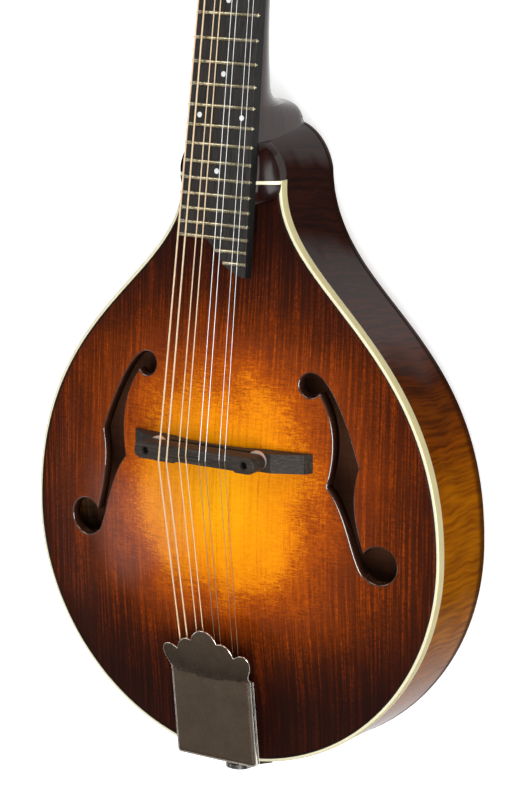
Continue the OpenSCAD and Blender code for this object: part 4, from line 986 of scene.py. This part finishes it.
def string_route(i):
    """Hook, saddle, the nut's two edges, and the turns on the post."""
    d = COURSE_D[i // 2]
    hook = on_cover([across(HOOK_STEP, HOOK_GAP, i), HOOK_S, HOOK_Z])
    break_y = BRIDGE_Y + COURSE_SHIFT[i // 2]
    saddle = np.array([across(SADDLE_STEP, SADDLE_GAP, i), break_y, CREST_Z + SADDLE_SEAT * d])
    x = across(NUT_STEP, NUT_GAP, i)
    nut = [on_neck([x, NUT_Y + step, STRING_RISE + d / 2]) for step in (0, NUT_T)]
    side = -1 if i < 4 else 1
    radius = WAIST_R + WAIST_GAP + d / 2
    a = np.radians(np.arange(0, COURSE_TURNS[i // 2] * 360 + 1, 12))
    post_y = FIRST_POST + POST_PLACE[i] * POST_PITCH
    rise = TURN_Z + (d + TURN_GAP) * a / (2 * np.pi)
    turns = on_head(np.c_[side * (POST_X - radius * np.cos(a)), post_y + radius * np.sin(a), rise])
    return hook, saddle, nut, turns


# The spans from the nut to the saddle, and the turns, take the paler wire: painted highlight; the tails from
# the hooks to the saddle take the darker wire: painted shade
for kind, indices, wire, tail_wire in (("wound", range(0, 4), "bronze_wire", "bronze_wire_painted_shade"),
                                       ("plain", range(4, 8), "steel_wire", "steel_wire_painted_shade")):
    routes = [string_route(i) for i in indices]
    tails, spans, ends = [], [], []
    for i, (hook, saddle, nut, turns) in zip(indices, routes):
        r = COURSE_D[i // 2] / 2
        tails.append(tube(between(hook, saddle, 40), r))
        spans.append(tube(between(nut[0], saddle, 60), r))
        to_post = [between(nut[0], nut[1], 3), between(nut[1], turns[0], 12)[1:], turns[1:]]
        ends.append(tube(np.vstack(to_post), r))
    hooks = np.mean([route[0] for route in routes], axis=0)
    nuts = np.mean([route[2][0] for route in routes], axis=0)
    node = kind + "_strings"
    for part, group, start, finish in (("tail", tails, hooks, tail_wire), ("span", spans, nuts, wire)):
        points, faces, places = joined(group)
        item = piece(f"{node}_{part}", points, faces, [finish], wire, [node], grain=places, body=None,
                     sharp=60)
        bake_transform(item)
    points, faces, places = joined(ends)
    piece(f"{node}_turns", points, faces, [wire], wire, [node], grain=places, sharp=60)

# Tailpiece cover: a folded sheet with a scalloped front that lifts past a crease
COVER_T = 1.1
COVER_LENGTH = 64.0
COVER_HALF = 25.2
CREASE = COVER_LENGTH - 12.5
CREASE_BOW, CREASE_RUN = 2.0, 3.0
FRONT_LIFT, LIFT_RUN = 4.4, 12.0
FLANGE, FLANGE_IN, FLANGE_STEP, FLANGE_END = 2.6, 1.6, 0.8, 1.5
FOLD = 1.5
DOME = 0.4
BEAD_R = 0.5
RIM_R, RIM_CORNER = 0.6, 2.0
COVER_FRONT = [
    [(COVER_HALF, -12), (COVER_HALF, -8.5), (28.2, -6), (28.1, -1.6)],
    [(28.1, -1.6), (28, 1.2), (26.4, 3.4), (23.6, 3.4)],
    [(23.6, 3.4), (21.6, 3.4), (19.7, 2.4), (18.3, 1.1)],
    [(18.3, 1.1), (17.6, 5), (14.6, 8.4), (11.6, 8.4)],
    [(11.6, 8.4), (10.5, 8.4), (9.3, 8.3), (8.3, 8)],
    [(8.3, 8), (7.6, 11.2), (4.4, 14.7), (0, 14.7)]]


def cover_top(x, s):
    """Height of the cover's upper face: folded down at the sides and the tail, lifted past the crease."""
    bow = 1 - (x / COVER_HALF) ** 2
    before_crease = np.clip((CREASE + CREASE_RUN / 2 - s) / CREASE_RUN, 0, 1)
    side_fold = np.clip((np.abs(x) - COVER_HALF + FOLD) / FOLD, 0, 2) ** 2 * before_crease
    tail_fold = np.clip((FOLD - s) / FOLD, 0, 2) ** 2
    past_crease = np.maximum(s - CREASE + CREASE_BOW * bow, 0)
    return DOME * bow - side_fold - tail_fold + FRONT_LIFT * (1 - np.exp(-past_crease / LIFT_RUN))


def cover_under(x, s):
    """Height of its lower face, with the flanges that hang down along the sides."""
    at_side = np.clip((np.abs(x) - COVER_HALF + FLANGE_IN) / FLANGE_STEP, 0, 1)
    return cover_top(x, s) - COVER_T - FLANGE * at_side * np.clip((CREASE - s) / FLANGE_END, 0, 1)


scallops = chain(COVER_FRONT, 12) + [0, COVER_LENGTH]
side_line = np.array([(COVER_HALF, s) for s in np.arange(0, scallops[0][1], 2)])
tail_line = np.array([(x, 0) for x in np.arange(1, COVER_HALF - 0.5, 1)])
cover_outline = both_sides(np.vstack([tail_line, side_line, scallops]))
points, faces, kinds, normals = plate(cover_outline, [], spacing=1.3, upper=cover_top, lower=cover_under,
                                      rounding=0.4)
# The cover's edge faces take the paler copy of the pewter: painted highlight along its rims
piece("cover_sheet", on_cover(points), faces, ["pewter", "bright_pewter", "pewter"], "pewter",
      ["tailpiece_cover"], kinds, body="cover", normals=tipped(normals, COVER_SLOPE))
bead_s = np.linspace(BEAD_R, CREASE - 2, 30)
bead_x = np.full(len(bead_s), COVER_HALF)
bead_z = cover_under(bead_x, bead_s) + BEAD_R
beads = [tube(on_cover(np.c_[side * bead_x, bead_s, bead_z]), BEAD_R) for side in (1, -1)]
rim_half = np.vstack([[(0, 0)], arc((COVER_HALF - RIM_CORNER, RIM_CORNER), RIM_CORNER, -90, 0, 8),
                      between(np.array([COVER_HALF, 2 * RIM_CORNER]), np.array([COVER_HALF, CREASE]), 20)])
rim_line = np.vstack([mirrored(rim_half[:0:-1]), rim_half])
rim_z = cover_top(*rim_line.T) - RIM_R / 2
beads.append(tube(on_cover(np.c_[rim_line, rim_z]), RIM_R))
# The beads and the rim take the paler pewter too: painted highlight
piece("cover_beads", *joined(beads)[:2], ["bright_pewter"], "pewter", ["tailpiece_cover"], body="cover",
      sharp=60)

# CAD pieces that keep their shape
TUNERS = range(1, 9)
SIDEWAYS = 0.7
CAD_FINISH = {
    "inner_wood": ["head_block", "tail_block", "top_lining", "back_lining", "tone_bars"],
    "nickel": ["headstock_screws", "bass_tuner_plate", "treble_tuner_plate", "tuner_bushings"]
              + [f"{part}_{k}" for part in ("string_post", "worm_shaft") for k in TUNERS],
    "button_cream": [f"tuner_button_{k}" for k in TUNERS], "head_ebony": ["truss_rod_cover", "headplate"],
    "rod_metal": ["truss_rod"], "brass": ["truss_rod_nut"], "board_ebony": ["fingerboard"],
    "fret_metal": ["frets"], "pearl": ["position_dots"], "bone": ["nut"], "bridge_ebony": ["bridge_base"],
    "stud_steel": ["bridge_studs"], "wheel_metal": ["bass_thumbwheel", "treble_thumbwheel"],
    "pewter": ["tailpiece_base", "tailpiece_screws"], "button_steel": ["strap_button"]}
for finish, names in CAD_FINISH.items():
    for name in names:
        nodes[name].data.materials.clear()
        nodes[name].data.materials.append(FINISHES[finish])
board = nodes["fingerboard"].data
# Faces that look sideways take the near-black copy: painted shade on the fingerboard's sides
board.materials.append(FINISHES["board_side_painted_shade"])
board.polygons.foreach_set("material_index", [int(abs(face.normal.x) > SIDEWAYS) for face in board.polygons])

# Edges that catch the light
SOFT_EDGES = {"fingerboard": 0.25, "bridge_base": 0.8, "headplate": 0.3, "truss_rod_cover": 0.3, "nut": 0.3,
              "tailpiece_base": 0.2, "frets": 0.25}
for name, width in SOFT_EDGES.items():
    weld = nodes[name].modifiers.new("one_skin", "WELD")
    weld.merge_threshold = 1e-5
    bevel = nodes[name].modifiers.new("soft_edges", "BEVEL")
    bevel.width = width / 1000
    bevel.segments = 2
    bevel.limit_method = "ANGLE"
    bevel.angle_limit = math.radians(40)

# Floor
FLOOR, FLOOR_Z = 40.0, -0.001
floor_paint = Paint("floor", Specular_IOR_Level=0.1)
grey = floor_paint.noise(floor_paint.place(), 6.0, 2.0)
path = floor_paint.node("LightPath").outputs
seen = floor_paint.math("MAXIMUM", path["Is Camera Ray"], path["Is Glossy Ray"])
seen = floor_paint.math("MAXIMUM", seen, path["Is Transmission Ray"])
pale = floor_paint.mix(grey, colour(240, 240, 240), colour(246, 246, 245))
glow = floor_paint.math("MULTIPLY", seen, 0.5)
floor_paint.finish(pale, 0.9, Emission_Color=(1, 1, 1, 1), Emission_Strength=glow)
floor_mesh = bpy.data.meshes.new("floor")
floor_corners = [(x * FLOOR, y * FLOOR, FLOOR_Z) for x, y in ((-1, -1), (1, -1), (1, 1), (-1, 1))]
floor_mesh.from_pydata(floor_corners, [], [(0, 1, 2, 3)])
floor_mesh.materials.append(FINISHES["floor"])
added("floor", floor_mesh)


# Light

def facing(right, upward, place):
    """A placing by its right and upward directions."""
    return Matrix(np.vstack([np.c_[right, upward, np.cross(right, upward), place], [0, 0, 0, 1]]).tolist())


def softbox(name, place, target, width, height, power):
    """A rectangular lamp that faces a point."""
    lamp = bpy.data.lights.new(name, "AREA")
    lamp.shape = "RECTANGLE"
    lamp.size = width
    lamp.size_y = height
    lamp.energy = power
    away = unit(np.subtract(place, target))
    right = unit(np.cross([0, 0, 1], away))
    added(name, lamp).matrix_world = facing(right, np.cross(away, right), place)


MIDDLE = (0, -0.1, 0.05)
softbox("key_right", (1.25, -0.35, 2.0), MIDDLE, 1.1, 1.1, 50)
softbox("head_left", (-1.3, 1.1, 1.4), MIDDLE, 1.0, 0.8, 9)
softbox("streak_left", (-1.48, -0.8, 1.2), (-0.07, -0.24, 0.08), 0.45, 0.6, 2)
softbox("head_end", (0.5, 1.9, 1.3), (0, 0, 0.05), 1.2, 0.8, 14)
world = bpy.data.worlds.new("studio")
bpy.context.scene.world = world
world.use_nodes = True
sky = Nodes(world.node_tree)
height = sky.node("SeparateXYZ", {"Vector": sky.node("TexCoord").outputs["Generated"]}).outputs["Z"]
background = sky.tree.nodes["Background"]
sky.set(background, "Color", (1, 1, 1, 1))
sky.set(background, "Strength", sky.span(height, 0.25, 0.9, 0.05, 0.34))

# Camera, in the work frame: where it stands, and its right, up and backward directions
CAMERA_AT = (832.7, 230.3, 1289.5)
CAMERA_RIGHT = np.array([0.8458, 0.0026, -0.5335])
CAMERA_UP = np.array([-0.1216, 0.9746, -0.1880])
FOCAL_PX = 2907.6
IMAGE_HEIGHT = 800
camera_data = bpy.data.cameras.new("camera")
camera_data.sensor_width = 36.0
camera_data.lens = FOCAL_PX / IMAGE_HEIGHT * camera_data.sensor_width
camera_data.clip_end = 50
camera = added("camera", camera_data)
right = tipped(unit(CAMERA_RIGHT), TILT)
upward = tipped(unit(CAMERA_UP), TILT)
camera.matrix_world = facing(right, upward, laid(CAMERA_AT))
bpy.context.scene.camera = camera
bpy.context.scene.view_settings.view_transform = "Standard"
